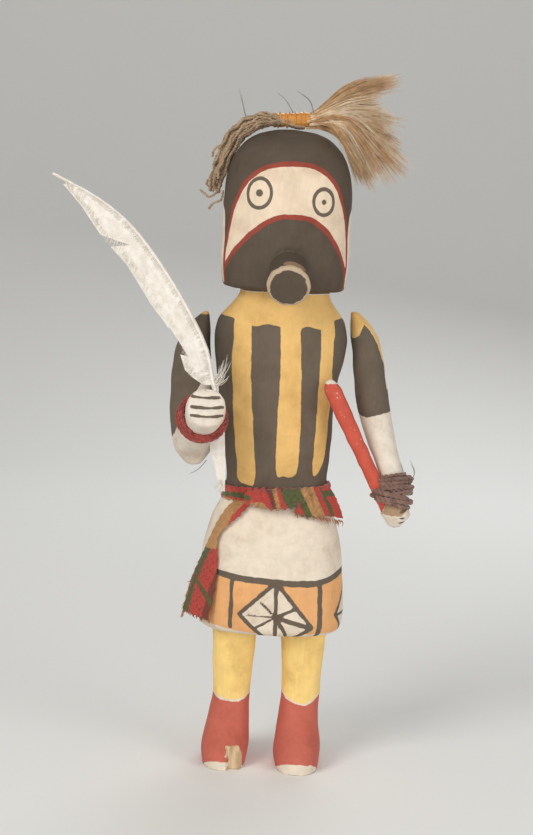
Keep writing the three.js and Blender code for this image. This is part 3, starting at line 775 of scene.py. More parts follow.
figure_paint = painted_wood(
    "painted_figure",
    [
        ("face", CREAM, 0.3, 0.35, 0.1),
        ("hood", BLACK, 0.35, 0.12, 0.2),
        ("muzzle", BLACK, 0.3, 0.22, 0.3),
        ("red_arcs", BRICK_RED, 0.4, 0.15, 0.15),
        ("eyes", GREY_BLACK, 0.3, 0.3, 0.2),
        ("torso_yellow", YELLOW, 0.4, 0.35, 0.15),
        ("torso_black", GREY_BLACK, 0.45, 0.22, 0.15),
        ("border", ORANGE, 0.4, 0.3, 0.15),
        ("kilt_ink", GREY_BLACK, 0.5, 0.35, 0.3),
        ("leg_yellow", PALE_YELLOW, 0.8, 0.45, 0.1),
        ("boot_red", BOOT_RED, 0.8, 0.25, 0.25),
    ],
)


def finish_piece(piece, material, node=None):
    """Gives a piece its material, puts it on the root body and lets it stand for its CAD node."""
    piece.data.materials.clear()
    piece.data.materials.append(material)
    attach(piece, "root")
    if node:
        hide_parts(node)
    return piece


finish_piece(figure, figure_paint, "carved_figure")
print("painted", figure.name)

# %% [markdown]
# The snout is a short peg in the mask. Its paint is the mask's black, worn to cream and brown wood round
# the rim. The rim is a circle in space, so the wear is simply the distance to that circle.

# %% The snout
SNOUT_LENGTH = 18.6
SNOUT_RIM_RADIUS = 10.0

snout, snout_points = carved_copy("snout", voxel=0.5, passes=12, relief=0.10, wavelength=7)
along = (snout_points - SNOUT_ROOT) @ SNOUT_AXIS
radius = np.linalg.norm(snout_points - SNOUT_ROOT - along[:, None] * SNOUT_AXIS, axis=1)
angle = np.arctan2(snout_points[:, 0] - SNOUT_ROOT[0], snout_points[:, 2] - SNOUT_ROOT[2])
rim_distance = np.hypot(along - SNOUT_LENGTH + 0.3, radius - SNOUT_RIM_RADIUS + 0.6)
write_field(snout.data, "rim_wear", 1.25 + 0.5 * np.cos(angle) - rim_distance)
write_field(snout.data, "brown_rub", 3.5 - np.hypot(along - 15.5, 6 * np.sin(angle / 2 - 0.25)))
write_field(snout.data, "bare", np.full(len(along), -1.0))
snout_paint = painted_wood(
    "painted_snout",
    [
        ("brown_rub", (0.30, 0.20, 0.12), 1.2, 0.4, 0.3),
        ("rim_wear", (0.50, 0.38, 0.26), 1.2, 0.5, 0.5),
    ],
    ground=BLACK,
    stains=0.2,
    edge_wear=0.1,
)
finish_piece(snout, snout_paint, "snout")

# %% [markdown]
# The arms are carved like the figure. Grooves between the fingers are cut into the fists, and the same
# lines are then painted dark. One function gives the distance to those lines, and both the cutting and
# the painting read it, so they can't drift apart. Here the four grooves run level across the fist's end.

# %% The bent arm
FINGER_LINES = [182.3, 178.5, 174.1, 170.4]
SLANT_POINT = (-50.6, 154.2)
SLANT_NORMAL = (0.904, -0.428)


def bent_fist_lines(points):
    """The distance to the level lines across the end of the fist, in x and z."""
    nearest = np.full(len(points), 40.0)
    for height in FINGER_LINES:
        line = smooth_line([(-40.4, height), (-33, height - 0.5), (-26.4, height + 0.1)])
        nearest = np.minimum(nearest, distance_to_line(points[:, [0, 2]], line))
    return np.where(points[:, 1] < -43.2, nearest, 40.0)


right_arm, arm_points = carved_copy(
    "right_arm", voxel=0.62, passes=22, relief=0.12,
    grooves=lambda points: 0.45 * np.exp(-(bent_fist_lines(points) / 0.7) ** 2),
)
ax, ay, az = arm_points.T
white_side = (ax - SLANT_POINT[0]) * SLANT_NORMAL[0] + (az - SLANT_POINT[1]) * SLANT_NORMAL[1]
sleeve = -np.maximum(white_side, np.minimum(-ay - 10, 40))
cuff_mark = 0.55 - distance_to_line(arm_points, np.array([(-45.0, -16, 163.0), (-44.9, -13, 157.0)]))
write_field(right_arm.data, "sleeve", sleeve)
write_field(right_arm.data, "shoulder_tip", az - 212.6)
write_field(right_arm.data, "finger_ink", np.maximum(0.62 - bent_fist_lines(arm_points), cuff_mark))
write_field(right_arm.data, "bare", np.full(len(arm_points), -1.0))
ARM_WHITE = (0.80, 0.72, 0.62)
right_arm_paint = painted_wood(
    "painted_bent_arm",
    [
        ("sleeve", GREY_BLACK, 0.6, 0.25, 0.2),
        ("shoulder_tip", YELLOW, 0.8, 0.4, 0.3),
        ("finger_ink", GREY_BLACK, 0.5, 0.3, 0.35),
    ],
    ground=ARM_WHITE,
)
finish_piece(right_arm, right_arm_paint, "right_arm")

# %% [markdown]
# The hanging arm has a yellow shoulder cap, a black sleeve and a white forearm. Its grooves curl round
# the foot of the fist, so they are lines in space and not in the front view. The brown patch on the back
# of the hand is a plain band of height that fades towards one side.

# %% The hanging arm
SHOULDER_EDGE = [(30, 211), (32, 205), (34.8, 206.6), (37, 212), (40.2, 209), (44.2, 202.2), (47.6, 193),
                 (49.4, 182), (56, 182), (56, 226), (26, 226), (26, 211)]
SLEEVE_FOOT = [(34, 171.2), (40, 168.6), (46, 170.2), (54, 172.4)]
# Finger grooves as points [x, y, z] that curl round the foot of the fist.
FINGER_GROOVES = [
    [(50.0, -21.5, 126.2), (54.5, -24.6, 124.4), (59.5, -22.0, 127.2), (62.8, -16.5, 129.6)],
    [(50.2, -21.0, 123.6), (54.8, -23.8, 121.6), (59.6, -21.2, 124.0), (62.4, -16.0, 126.4)],
    [(51.2, -19.6, 121.0), (55.2, -21.6, 119.6), (59.2, -19.4, 121.2), (61.6, -15.6, 123.2)],
]


def hanging_fist_lines(points):
    return np.minimum.reduce([distance_to_line(points, smooth_line(line)) for line in FINGER_GROOVES])


left_arm, arm_points = carved_copy(
    "left_arm", voxel=0.58, passes=22, relief=0.12,
    grooves=lambda points: 0.5 * np.exp(-(hanging_fist_lines(points) / 0.8) ** 2),
)
ax, ay, az = arm_points.T
foot_line = np.array(SLEEVE_FOOT)
cap = distance_inside(arm_points[:, [0, 2]], np.array(SHOULDER_EDGE))
sleeve = np.minimum(az - np.interp(ax, foot_line[:, 0], foot_line[:, 1]), -cap)
dark_line = np.array([(54.4, -12, 152.8), (57.2, -11, 147.6), (59.0, -9, 142.8)])
dark_thread = 0.4 - distance_to_line(arm_points, dark_line)
palm = np.minimum(131.2 - az, az - 124.6) - np.clip(ax - 58.5, 0, 9)
write_field(left_arm.data, "sleeve", sleeve)
write_field(left_arm.data, "shoulder_cap", cap)
write_field(left_arm.data, "palm_brown", palm)
write_field(left_arm.data, "finger_ink", np.maximum(0.75 - hanging_fist_lines(arm_points), dark_thread))
write_field(left_arm.data, "bare", np.full(len(arm_points), -1.0))
left_arm_paint = painted_wood(
    "painted_hanging_arm",
    [
        ("sleeve", GREY_BLACK, 0.5, 0.3, 0.2),
        ("shoulder_cap", YELLOW, 0.5, 0.35, 0.2),
        ("palm_brown", (0.42, 0.28, 0.17), 1.0, 0.4, 0.3),
        ("finger_ink", (0.17, 0.11, 0.065), 0.4, 0.3, 0.3),
    ],
    ground=ARM_WHITE,
)
finish_piece(left_arm, left_arm_paint, "left_arm")

# %% [markdown]
# The club is a stick with a rounded top. Red paint covers it from end to end, and many small chips show
# the white ground. Stopping the paint a little short of both ends leaves them rubbed white.

# %% The club
CLUB_PAINT_TOP, CLUB_PAINT_FOOT = 184.6, 117.0
club, club_points = carved_copy("club", voxel=0.45, passes=14, relief=0.16, wavelength=9)
club_height = club_points[:, 2]
from_paint_end = np.minimum(CLUB_PAINT_TOP - club_height, club_height - CLUB_PAINT_FOOT)
write_field(club.data, "club_red", from_paint_end + 0.2)
write_field(club.data, "bare", np.full(len(club_points), -1.0))
club_paint = painted_wood(
    "painted_club", [("club_red", (0.56, 0.095, 0.060), 0.9, 0.22, 0.55)], stains=0.15, edge_wear=0.5
)
finish_piece(club, club_paint, "club")

# %% [markdown]
# Yarn, hair and barbs all start the same way: a mesh of plain edges, the guides, with the strand's
# radius stored at each point. Geometry Nodes turn the guides into strands. The yarn tree copies each
# guide once for each ply, winds the plies round one another and gives them thickness. The hair tree
# copies each guide many times, spreads the copies and tapers them.

# %% Guides and the strand trees
def guides(name, lines, radii):
    """A mesh of open lines. Each line is an array of points in mm, and its radius may change along it."""
    points, edges, thickness = [], [], []
    for line, radius in zip(lines, radii):
        first = len(points)
        points.extend(to_scene(line).tolist())
        edges.extend((first + i, first + i + 1) for i in range(len(line) - 1))
        thickness.extend(np.broadcast_to(np.asarray(radius, float) * MM, len(line)).tolist())
    mesh = bpy.data.meshes.new(name)
    mesh.from_pydata(points, edges, [])
    piece = new_object(name, mesh)
    write_field(mesh, "thickness", thickness)
    return piece


def start_tree(name, sizes):
    """An empty geometry tree with named inputs, given as name: kind."""
    tree = bpy.data.node_groups.new(name, "GeometryNodeTree")
    tree.interface.new_socket("Geometry", in_out="INPUT", socket_type="NodeSocketGeometry")
    for socket_name, kind in sizes.items():
        tree.interface.new_socket(socket_name, in_out="INPUT", socket_type="NodeSocket" + kind)
    tree.interface.new_socket("Geometry", in_out="OUTPUT", socket_type="NodeSocketGeometry")
    nodes = Nodes(tree)
    return tree, nodes, nodes.add("NodeGroupInput").outputs


def thicken(n, curves, radius, sides, material):
    """Ends a tree: a round section along the curves, caps, smooth shading and the material."""
    curves = n.add("GeometryNodeSetCurveRadius", {"Curve": curves, "Radius": radius}).outputs[0]
    profile = n.add("GeometryNodeCurvePrimitiveCircle", {"Resolution": sides, "Radius": 1.0}).outputs[0]
    sweep = n.add("GeometryNodeCurveToMesh", {"Curve": curves, "Profile Curve": profile, "Fill Caps": True})
    if "Scale" in sweep.inputs:
        n.tree.links.new(radius, sweep.inputs["Scale"])
    smooth = n.add("GeometryNodeSetShadeSmooth", {"Geometry": sweep.outputs[0]}).outputs[0]
    real = n.add("GeometryNodeRealizeInstances", {"Geometry": smooth}).outputs[0]
    dressed = n.add("GeometryNodeSetMaterial", {"Geometry": real, "Material": material}).outputs[0]
    n.tree.links.new(dressed, n.add("NodeGroupOutput").inputs[0])


def named(n, name, kind="FLOAT"):
    node = n.add("GeometryNodeInputNamedAttribute", {"Name": name}, data_type=kind)
    return node.outputs["Attribute"]


def scaled(n, vector, length):
    return n.add("ShaderNodeVectorMath", {0: vector, 3: length}, operation="SCALE").outputs[0]


# A ply's distance from the yarn's middle and its own radius, as shares of the yarn's radius.
PLY_REACH = 0.46
PLY_THICKNESS = 0.6


def yarn_tree():
    tree, n, given = start_tree("Twisted yarn", {
        "Plies": "Int", "Twist Length": "Float", "Step": "Float", "Sides": "Int", "Material": "Material",
    })
    curves = n.add("GeometryNodeMeshToCurve", {"Mesh": given["Geometry"]}).outputs[0]
    even = n.add("GeometryNodeResampleCurve", {"Curve": curves, "Length": given["Step"]}, mode="LENGTH")
    copies = n.add("GeometryNodeDuplicateElements", {"Geometry": even.outputs[0], "Amount": given["Plies"]},
                   domain="SPLINE")
    share = n.math("DIVIDE", copies.outputs["Duplicate Index"], given["Plies"])
    travelled = n.add("GeometryNodeSplineParameter").outputs["Length"]
    turns = n.math("ADD", share, n.math("DIVIDE", travelled, given["Twist Length"]))
    angle = n.math("MULTIPLY", turns, 2 * math.pi)
    tangent = n.add("GeometryNodeInputTangent").outputs[0]
    normal = n.add("GeometryNodeInputNormal").outputs[0]
    sideways = n.vector("CROSS_PRODUCT", tangent, normal)
    radius = named(n, "thickness")
    cosine = n.math("COSINE", angle)
    sine = n.math("SINE", angle)
    around = n.vector("ADD", scaled(n, normal, cosine), scaled(n, sideways, sine))
    offset = scaled(n, around, n.math("MULTIPLY", radius, PLY_REACH))
    wound = n.add("GeometryNodeSetPosition", {"Geometry": copies.outputs[0], "Offset": offset}).outputs[0]
    thicken(n, wound, n.math("MULTIPLY", radius, PLY_THICKNESS), given["Sides"], given["Material"])
    return tree


def hair_tree():
    tree, n, given = start_tree("Spread hairs", {
        "Hairs": "Int", "Root Spread": "Float", "Tip Spread": "Float", "Sides": "Int", "Seed": "Int",
        "Material": "Material",
    })
    curves = n.add("GeometryNodeMeshToCurve", {"Mesh": given["Geometry"]}).outputs[0]
    copies = n.add("GeometryNodeDuplicateElements", {"Geometry": curves, "Amount": given["Hairs"]},
                   domain="SPLINE").outputs[0]
    index = n.add("GeometryNodeInputIndex").outputs[0]
    limits = {0: (-1, -1, -1), 1: (1, 1, 1), "ID": index, "Seed": given["Seed"]}
    chance = n.add("FunctionNodeRandomValue", limits, data_type="FLOAT_VECTOR").outputs[0]
    stored = {"Geometry": copies, "Name": "stray", "Value": chance}
    kept = n.add("GeometryNodeStoreNamedAttribute", stored, data_type="FLOAT_VECTOR", domain="CURVE")
    factor = n.add("GeometryNodeSplineParameter").outputs["Factor"]
    bend = n.math("POWER", factor, 1.6)
    tip = n.math("MULTIPLY", bend, given["Tip Spread"])
    reach = n.math("ADD", tip, given["Root Spread"])
    offset = scaled(n, named(n, "stray", "FLOAT_VECTOR"), reach)
    spread = n.add("GeometryNodeSetPosition", {"Geometry": kept.outputs[0], "Offset": offset}).outputs[0]
    taper = n.math("SUBTRACT", 1.0, n.math("MULTIPLY", n.math("POWER", factor, 2.0), 0.8))
    thicken(n, spread, n.math("MULTIPLY", named(n, "thickness"), taper), given["Sides"], given["Material"])
    return tree


YARN_TREE = yarn_tree()
HAIR_TREE = hair_tree()


def grow(piece, tree, **sizes):
    """Runs a tree on a piece with these sizes and keeps the result as a plain mesh."""
    modifier = piece.modifiers.new(tree.name, "NODES")
    modifier.node_group = tree
    for item in tree.interface.items_tree:
        key = item.name.lower().replace(" ", "_")
        if item.in_out == "INPUT" and key in sizes:
            modifier[item.identifier] = sizes[key]
    bake(piece)
    print(piece.name, "triangles:", sum(len(p.vertices) - 2 for p in piece.data.polygons))
    return piece


# %% [markdown]
# Wool, hair, hide and feather share one effect, so it is a group: a colour that varies in broad patches
# and in fine fibres, and the same fibres as a height for the bump. Each material gives the group its own
# two colours. Roughness and sheen are the same all over a strand, so they are numbers on the shader.

# %% Fibre material
def fibres_group():
    group, n, given, wanted = start_group(
        "Fibres", {"Light": "Color", "Dark": "Color", "Fibre Scale": "Float", "Place": "Vector"},
        {"Colour": "Color", "Height": "Float"},
    )
    broad = n.noise(given["Place"], 0.28, 1.0, detail=4, roughness=0.6)
    fine = n.noise(given["Place"], given["Fibre Scale"], 2.0, detail=5, roughness=0.7)
    blend = n.math("ADD", n.math("MULTIPLY", broad, 0.6), n.math("MULTIPLY", fine, 0.5))
    colour = n.mix(n.step(blend, 0.35, 0.75), given["Dark"], given["Light"])
    n.tree.links.new(colour, wanted["Colour"])
    n.tree.links.new(fine, wanted["Height"])
    return group


FIBRES = fibres_group()


def fibre_material(name, light, dark, roughness=0.9, sheen=0.25, fibre_scale=2.2):
    material = bpy.data.materials.new(name)
    material.use_nodes = True
    n = Nodes(material.node_tree)
    shader = n.tree.nodes["Principled BSDF"]
    inputs = {"Light": rgba(light), "Dark": rgba(dark), "Fibre Scale": fibre_scale, "Place": n.millimetres()}
    fibres = n.add("ShaderNodeGroup", inputs, node_tree=FIBRES)
    n.tree.links.new(fibres.outputs["Colour"], shader.inputs["Base Color"])
    bump = n.add("ShaderNodeBump", {"Height": fibres.outputs["Height"], "Strength": 0.6, "Distance": 0.15 * MM})
    n.tree.links.new(bump.outputs["Normal"], shader.inputs["Normal"])
    shader.inputs["Roughness"].default_value = roughness
    shader.inputs["Sheen Weight"].default_value = sheen
    return material


RED_WOOL = fibre_material("red_wool", (0.42, 0.070, 0.048), (0.17, 0.022, 0.018))
BROWN_WOOL = fibre_material("brown_red_wool", (0.34, 0.20, 0.15), (0.10, 0.045, 0.035))
BEIGE_WOOL = fibre_material("beige_yarn", (0.52, 0.37, 0.23), (0.20, 0.125, 0.07))
WHITE_HAIR = fibre_material("pale_hair", (0.92, 0.80, 0.62), (0.72, 0.50, 0.28), roughness=0.55, sheen=0.1)
BROWN_HAIR = fibre_material("brown_hair", (0.80, 0.52, 0.26), (0.42, 0.22, 0.09), roughness=0.55, sheen=0.1)
GREY_THREAD = fibre_material("grey_thread", (0.30, 0.30, 0.27), (0.14, 0.14, 0.12))

# %% [markdown]
# Yarn wound on a wrist is a helix about the arm, but a hand winds it unevenly: each turn lies a little
# further along, in or out, and the turns cross. The winding below adds slow sines to the helix for that.

# %% Yarn on the wrists
def winding(centre, axis, half_sizes, length, turns, unevenness, seed, start_angle=0.0):
    """A hand-wound helix. half_sizes are the winding's half axes across x and across y."""
    random = np.random.default_rng(seed)
    axis = np.asarray(axis, float) / np.linalg.norm(axis)
    across = np.cross(axis, (0, 1, 0.2))
    across /= np.linalg.norm(across)
    deep = np.cross(axis, across)
    angle = np.linspace(0, 2 * math.pi * turns, int(turns * 26))
    share = angle / angle[-1]
    phase = random.uniform(0, 2 * math.pi, 3)
    drift = unevenness * (np.sin(0.43 * angle + phase[0]) + 0.6 * np.sin(1.31 * angle + phase[1]))
    swell = 1 + 0.05 * np.sin(0.71 * angle + phase[2])
    turn = angle + start_angle
    return (
        np.asarray(centre, float)
        + np.outer((share - 0.5) * length + drift, axis)
        + np.outer(half_sizes[0] * swell * np.cos(turn), across)
        + np.outer(half_sizes[1] * swell * np.sin(turn), deep)
    )


ELBOW = np.array([-42, 1, 151.5])
FIST_END = np.array([-33.4, -47, 174])
FOREARM = FIST_END - ELBOW
wrist = ELBOW + 0.70 * FOREARM
wraps = [
    winding(wrist, FOREARM, (9.6, 9.8), 6.6, 6.2, 0.5, seed=1),
    winding(wrist, FOREARM, (10.9, 10.9), 4.6, 4.1, 0.8, seed=2, start_angle=1.0),
]
red_yarn = guides("red_wrist_yarn", wraps, [1.05, 1.0])
grow(red_yarn, YARN_TREE, plies=2, twist_length=5 * MM, step=0.55 * MM, sides=6, material=RED_WOOL)
finish_piece(red_yarn, RED_WOOL, "right_wrist_yarn")

wraps = [
    winding((55.0, -14.6, 138.2), (-0.16, 0.12, 1), (7.3, 7.9), 8.6, 5.4, 0.35, seed=4),
    winding((55.0, -14.6, 137.6), (-0.05, 0.2, 1), (8.2, 8.7), 6.6, 4.2, 0.6, seed=5, start_angle=2.0),
    winding((53.8, -16.2, 132.2), (0.22, 0.1, 1), (9.2, 9.0), 4.4, 3.3, 0.5, seed=6, start_angle=0.6),
]
brown_yarn = guides("brown_wrist_yarn", wraps, [1.0, 0.95, 1.0])
grow(brown_yarn, YARN_TREE, plies=2, twist_length=5 * MM, step=0.55 * MM, sides=6, material=BROWN_WOOL)
finish_piece(brown_yarn, BROWN_WOOL, "left_wrist_yarn")

# %% [markdown]
# The yarn on the crown is one thick bundle. Its middle line and its radius change along the way, and
# each strand keeps its own place in the bundle's section while it waves a little, as wool does once its
# twist relaxes. The lower ends fray and curl.

# %% Yarn over the crown
YARN_LINE = [(4.5, 302.2), (-7, 304.2), (-14.5, 304.6), (-22, 301.4), (-28.3, 295.2), (-32.3, 286.4),
             (-34.9, 278), (-37.0, 269.2)]
YARN_RADIUS = [0.8, 2.6, 4.3, 4.9, 4.9, 4.2, 3.8, 3.0]
DOME_POWER = 2.6
MASK_CROWN = 300.6
DOME_LEFT = -29


def dome_height(x, y):
    """The height of the mask's dome above a place, or the spring line outside it."""
    across = np.abs((x - MASK_MIDDLE) / MASK_HALF_WIDTH)
    deep = np.abs(y / MASK_HALF_DEPTH)
    plan = (across**MASK_PLAN_POWER + deep**MASK_PLAN_POWER) ** (1 / MASK_PLAN_POWER)
    plan = np.clip(plan, 0, 1)
    return MASK_SPRING + (1 - plan**DOME_POWER) ** (1 / DOME_POWER) * (MASK_CROWN - MASK_SPRING)


def crown_strands(count, seed):
    random = np.random.default_rng(seed)
    middle = smooth_line([(x, 0, z) for x, z in YARN_LINE], steps=10)
    radius = np.interp(np.linspace(0, 1, len(middle)), np.linspace(0, 1, len(YARN_RADIUS)), YARN_RADIUS)
    tangent = np.gradient(middle, axis=0)
    tangent /= np.linalg.norm(tangent, axis=1)[:, None]
    upward = np.cross(tangent, (0, 1, 0))
    share = np.linspace(0, 1, len(middle))
    lines = []
    for _ in range(count):
        angle, place_out = random.uniform(0, 2 * math.pi), math.sqrt(random.uniform(0, 1)) * 0.86
        swirl = angle + random.uniform(-1.6, 1.6) * share
        wave = 0.5 * np.sin(share * random.uniform(30, 55) + random.uniform(0, 6))
        side = place_out * radius * 1.75 * np.cos(swirl) + wave
        lift = place_out * radius * 0.9 * np.sin(swirl) + 0.5 * np.sin(share * random.uniform(30, 60))
        line = middle + side[:, None] * (0, 1, 0) + lift[:, None] * upward
        floor = dome_height(line[:, 0], line[:, 1]) + 0.7
        line[:, 2] = np.maximum(line[:, 2], np.where(line[:, 0] > DOME_LEFT, floor, 0))
        end = int(len(line) * random.uniform(0.86, 1.0))
        lines.append(line[:end])
    return lines


# Loose ends that curl out under the bundle, one list of points for each.
LOOSE_ENDS = [
    [(-33.5, -2, 274), (-34.3, -3, 270.9), (-36.2, -3.4, 268.8), (-38.6, -3.6, 267.6), (-40.7, -3.2, 269.2),
     (-43.0, -3, 270.8)],
    [(-32.0, -4, 271), (-32.7, -4.6, 266.6), (-36.1, -5, 265.0), (-38.4, -5, 262.0)],
    [(-33.6, -1, 292), (-36.2, -2, 290.6), (-37.5, -2.2, 288.6), (-37.8, -2, 286.4)],
    [(-36.4, 2, 276), (-38.8, 2.4, 272.6), (-40.2, 2.6, 273.8), (-39.4, 2.2, 275.6)],
]
strands = crown_strands(46, seed=11)
ends = [smooth_line(line, steps=6) for line in LOOSE_ENDS]
crown_yarn = guides("crown_yarn", strands + ends, [0.72] * len(strands) + [0.62] * len(ends))
grow(crown_yarn, YARN_TREE, plies=2, twist_length=3.4 * MM, step=0.75 * MM, sides=5, material=BEIGE_WOOL)
finish_piece(crown_yarn, BEIGE_WOOL, "yarn_tuft")

# %% [markdown]
# The hair springs from the end of the binding in two sheaves: an upper one that points up and to the
# side, and a lower one that falls over the side of the mask. Each lock has a few guides, and the tree
# makes many fine hairs of each guide. Each lock has its own share of brown hairs among the pale ones.

# %% Hair on the crown
HAIR_ROOT = np.array([6.0, 0, 305.4])
# Each lock: its tip, how far its middle bows upwards, and its share of brown hairs.
LOCKS = [
    ((47.8, -1, 326.0), 3.5, 0.6), ((43.5, 2, 327.0), 5.0, 0.3), ((41.0, -3, 319.5), 3.0, 0.5),
    ((38.5, 3, 315.0), 2.5, 0.2), ((43.5, -4, 311.0), 3.0, 0.2), ((49.5, 2, 306.4), 4.5, 0.3),
    ((44.5, -5, 302.6), 5.0, 0.2), ((50.2, 4, 296.4), 6.5, 0.4), ((46.5, -6, 292.0), 7.0, 0.2),
    ((53.6, 1, 288.4), 8.0, 0.5), ((48.0, -7, 285.4), 8.0, 0.5), ((51.4, 5, 282.2), 9.0, 0.5),
    ((44.6, -6, 278.6), 9.0, 0.7), ((39.6, 2, 276.2), 9.0, 0.8), ((35.8, -3, 277.0), 8.0, 0.6),
    ((33.0, -7, 283.0), 6.5, 0.3), ((36.0, 7, 281.0), 7.5, 0.4), ((41.0, 7, 290.0), 7.0, 0.2),
]


def hair_guides(brown, seed):
    random = np.random.default_rng(seed)
    lines = []
    for tip, bow, brown_share in LOCKS:
        count = round(9 * (brown_share if brown else 1 - brown_share))
        for _ in range(count):
            root = HAIR_ROOT + random.normal(0, 1, 3) * (0.6, 1.3, 1.2)
            end = np.array(tip) + random.normal(0, 1, 3) * (1.5, 1.8, 1.5)
            stretch = random.uniform(0.80, 1.02)
            end = root + (end - root) * stretch
            middle = (root + end) / 2 + random.normal(0, 0.8, 3) + (1.5, 0, bow)
            line = smooth_line([root, middle, end], steps=5)
            floor = dome_height(line[:, 0], line[:, 1]) + 0.6
            over_mask = line[:, 0] < MASK_MIDDLE + MASK_HALF_WIDTH
            line[:, 2] = np.where(over_mask, np.maximum(line[:, 2], floor), line[:, 2])
            lines.append(line)
    return lines


for brown, hair_name, hair_paint in ((False, "pale_hairs", WHITE_HAIR), (True, "brown_hairs", BROWN_HAIR)):
    lines = hair_guides(brown, seed=21 + brown)
    hairs = guides(hair_name, lines, [0.16] * len(lines))
    grow(hairs, HAIR_TREE, hairs=16, root_spread=0.5 * MM, tip_spread=1.9 * MM, sides=3, seed=5,
         material=hair_paint)
    finish_piece(hairs, hair_paint, "fur_tuft" if not brown else None)

# %% [markdown]
# A feather is a quill with a row of barbs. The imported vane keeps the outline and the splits, and the
# barbs lie on both of its faces as fine tapered strands that end a little before or past its edge. The
# vane below them stays as it is packed, and only gets the same white. Short loose barbs stand at the foot
# of each feather.

# %% The feathers
SHAFT_POINTS = [(-31.2, -39.4, 183.4), (-35.2, -38.8, 199.0), (-44.6, -37.6, 217.0), (-59.4, -35.5, 238.6),
                (-73.2, -33.5, 254.2), (-87.5, -31.3, 264.6), (-106.8, -28.3, 273.9)]
EDGE_POINTS = [(-36.0, -38.6, 183.2), (-43.6, -37.3, 189.4), (-48.0, -36.8, 202.6), (-60.4, -34.9, 217.8),
               (-72.8, -33.2, 235.8), (-83.8, -31.6, 246.4), (-94.2, -30.1, 260.4), (-103.0, -28.8, 270.0)]
SHAFT = smooth_line(SHAFT_POINTS, steps=30)
VANE_EDGE = smooth_line(EDGE_POINTS, steps=30)
BARB_COUNT = 420
BARB_RADIUS = 0.26
# How far the barbs lie from the vane's middle, on its front face and on its back face.
FRONT_FACE, BACK_FACE = -0.62, 0.35
FEATHER_WHITE = fibre_material(
    "feather_white", (0.86, 0.82, 0.76), (0.66, 0.60, 0.52), roughness=0.6, sheen=0.1
)


def barb_lines(count, seed):
    """Barbs from the shaft to the vane's edge, each a little bowed and of its own length."""
    random = np.random.default_rng(seed)
    lines = []
    for share in np.linspace(0.02, 0.97, count):
        root = SHAFT[int(share * (len(SHAFT) - 1))]
        tip = VANE_EDGE[int(share * (len(VANE_EDGE) - 1))]
        tip = root + (tip - root) * random.uniform(0.86, 1.06)
        lean = np.array((-1.0, 0, 1.4)) * random.uniform(0.2, 0.9)
        middle = (root + tip) / 2 + lean
        side = (0, FRONT_FACE if random.random() < 0.6 else BACK_FACE, 0)
        lines.append(smooth_line([root, middle, tip], steps=3) + side)
    return lines


def down_lines(foot, count, reach, seed):
    """Short loose barbs at the foot of a feather."""
    random = np.random.default_rng(seed)
    lines = []
    for _ in range(count):
        root = np.asarray(foot, float) + random.normal(0, 0.8, 3)
        tip = root + np.array(reach) * random.uniform(0.4, 1.0) + random.normal(0, 1.4, 3)
        lines.append(smooth_line([root, (root + tip) / 2 + (0.8, 0, 0), tip], steps=3))
    return lines


def paint_packed(node, material):
    """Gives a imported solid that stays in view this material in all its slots."""
    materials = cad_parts[node].data.materials
    for index in range(len(materials)):
        materials[index] = material


barbs = barb_lines(BARB_COUNT, seed=31)
barbs += down_lines((-30.5, -39.6, 184), 26, (4.5, 0, 11), seed=32)
barbs += down_lines((-26.5, -28.6, 138), 16, (-1, 0, -7), seed=33)
feather_barbs = guides("feather_barbs", barbs, [BARB_RADIUS] * len(barbs))
grow(feather_barbs, HAIR_TREE, hairs=1, root_spread=0.0, tip_spread=0.35 * MM, sides=3, seed=7,
     material=FEATHER_WHITE)
finish_piece(feather_barbs, FEATHER_WHITE, None)
paint_packed("feather", FEATHER_WHITE)
paint_packed("hanging_feather", FEATHER_WHITE)

# %% [markdown]
# The sash is one strip of woven cloth, tied so that it is folded on itself. Its stripes change from the
# band to the knot, the fan and the tail, so a shader would need four patterns. It is simpler to work out
# a dye colour for each point of the cloth and to let the material add only the wool's unevenness and the
# rows of the weave.

# %% The woven cloth
CLOTH_RED = (0.42, 0.050, 0.036)
CLOTH_DARK = (0.16, 0.040, 0.024)
CLOTH_GREEN = (0.085, 0.095, 0.030)
CLOTH_TAN = (0.42, 0.22, 0.085)


def stripes(across, bands):
    """The colour at each place across a stripe pattern; bands are (upper limit in mm, colour)."""
    colours = np.tile(np.array(bands[-1][1], float), (len(across), 1))
    for limit, colour in reversed(bands):
        colours[across < limit] = colour
    return colours


def woven_cloth():
    material = bpy.data.materials.new("woven_cloth")
    material.use_nodes = True
    n = Nodes(material.node_tree)
    shader = n.tree.nodes["Principled BSDF"]
    spot = n.millimetres()
    dye = n.add("ShaderNodeAttribute", attribute_name="dye").outputs["Color"]
    wool = n.noise(spot, 1.4, 4.0, detail=5, roughness=0.7)
    tone = n.math("ADD", n.math("MULTIPLY", wool, 1.5), 0.25)
    shade = n.add("ShaderNodeCombineColor", {0: tone, 1: tone, 2: tone}).outputs[0]
    n.tree.links.new(n.mix(1.0, dye, shade, blend="MULTIPLY"), shader.inputs["Base Color"])
    rows = n.noise(n.vector("MULTIPLY", spot, (1.0, 1.0, 3.2)), 0.9, 2.0, detail=3)
    weave = n.math("ADD", rows, wool)
    bump = n.add("ShaderNodeBump", {"Height": weave, "Strength": 0.8, "Distance": 0.3 * MM})
    n.tree.links.new(bump.outputs["Normal"], shader.inputs["Normal"])
    shader.inputs["Roughness"].default_value = 0.95
    shader.inputs["Sheen Weight"].default_value = 0.2
    return material


WOVEN_CLOTH = woven_cloth()
print("made", WOVEN_CLOTH.name)

# %% [markdown]
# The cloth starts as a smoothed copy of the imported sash. Two waves that cross push its points in and out
# along the normals, as soft folds, and they fade away from the knot.

# %% The sash
BAND_FOOT, BAND_RISE = 127.2, 0.05
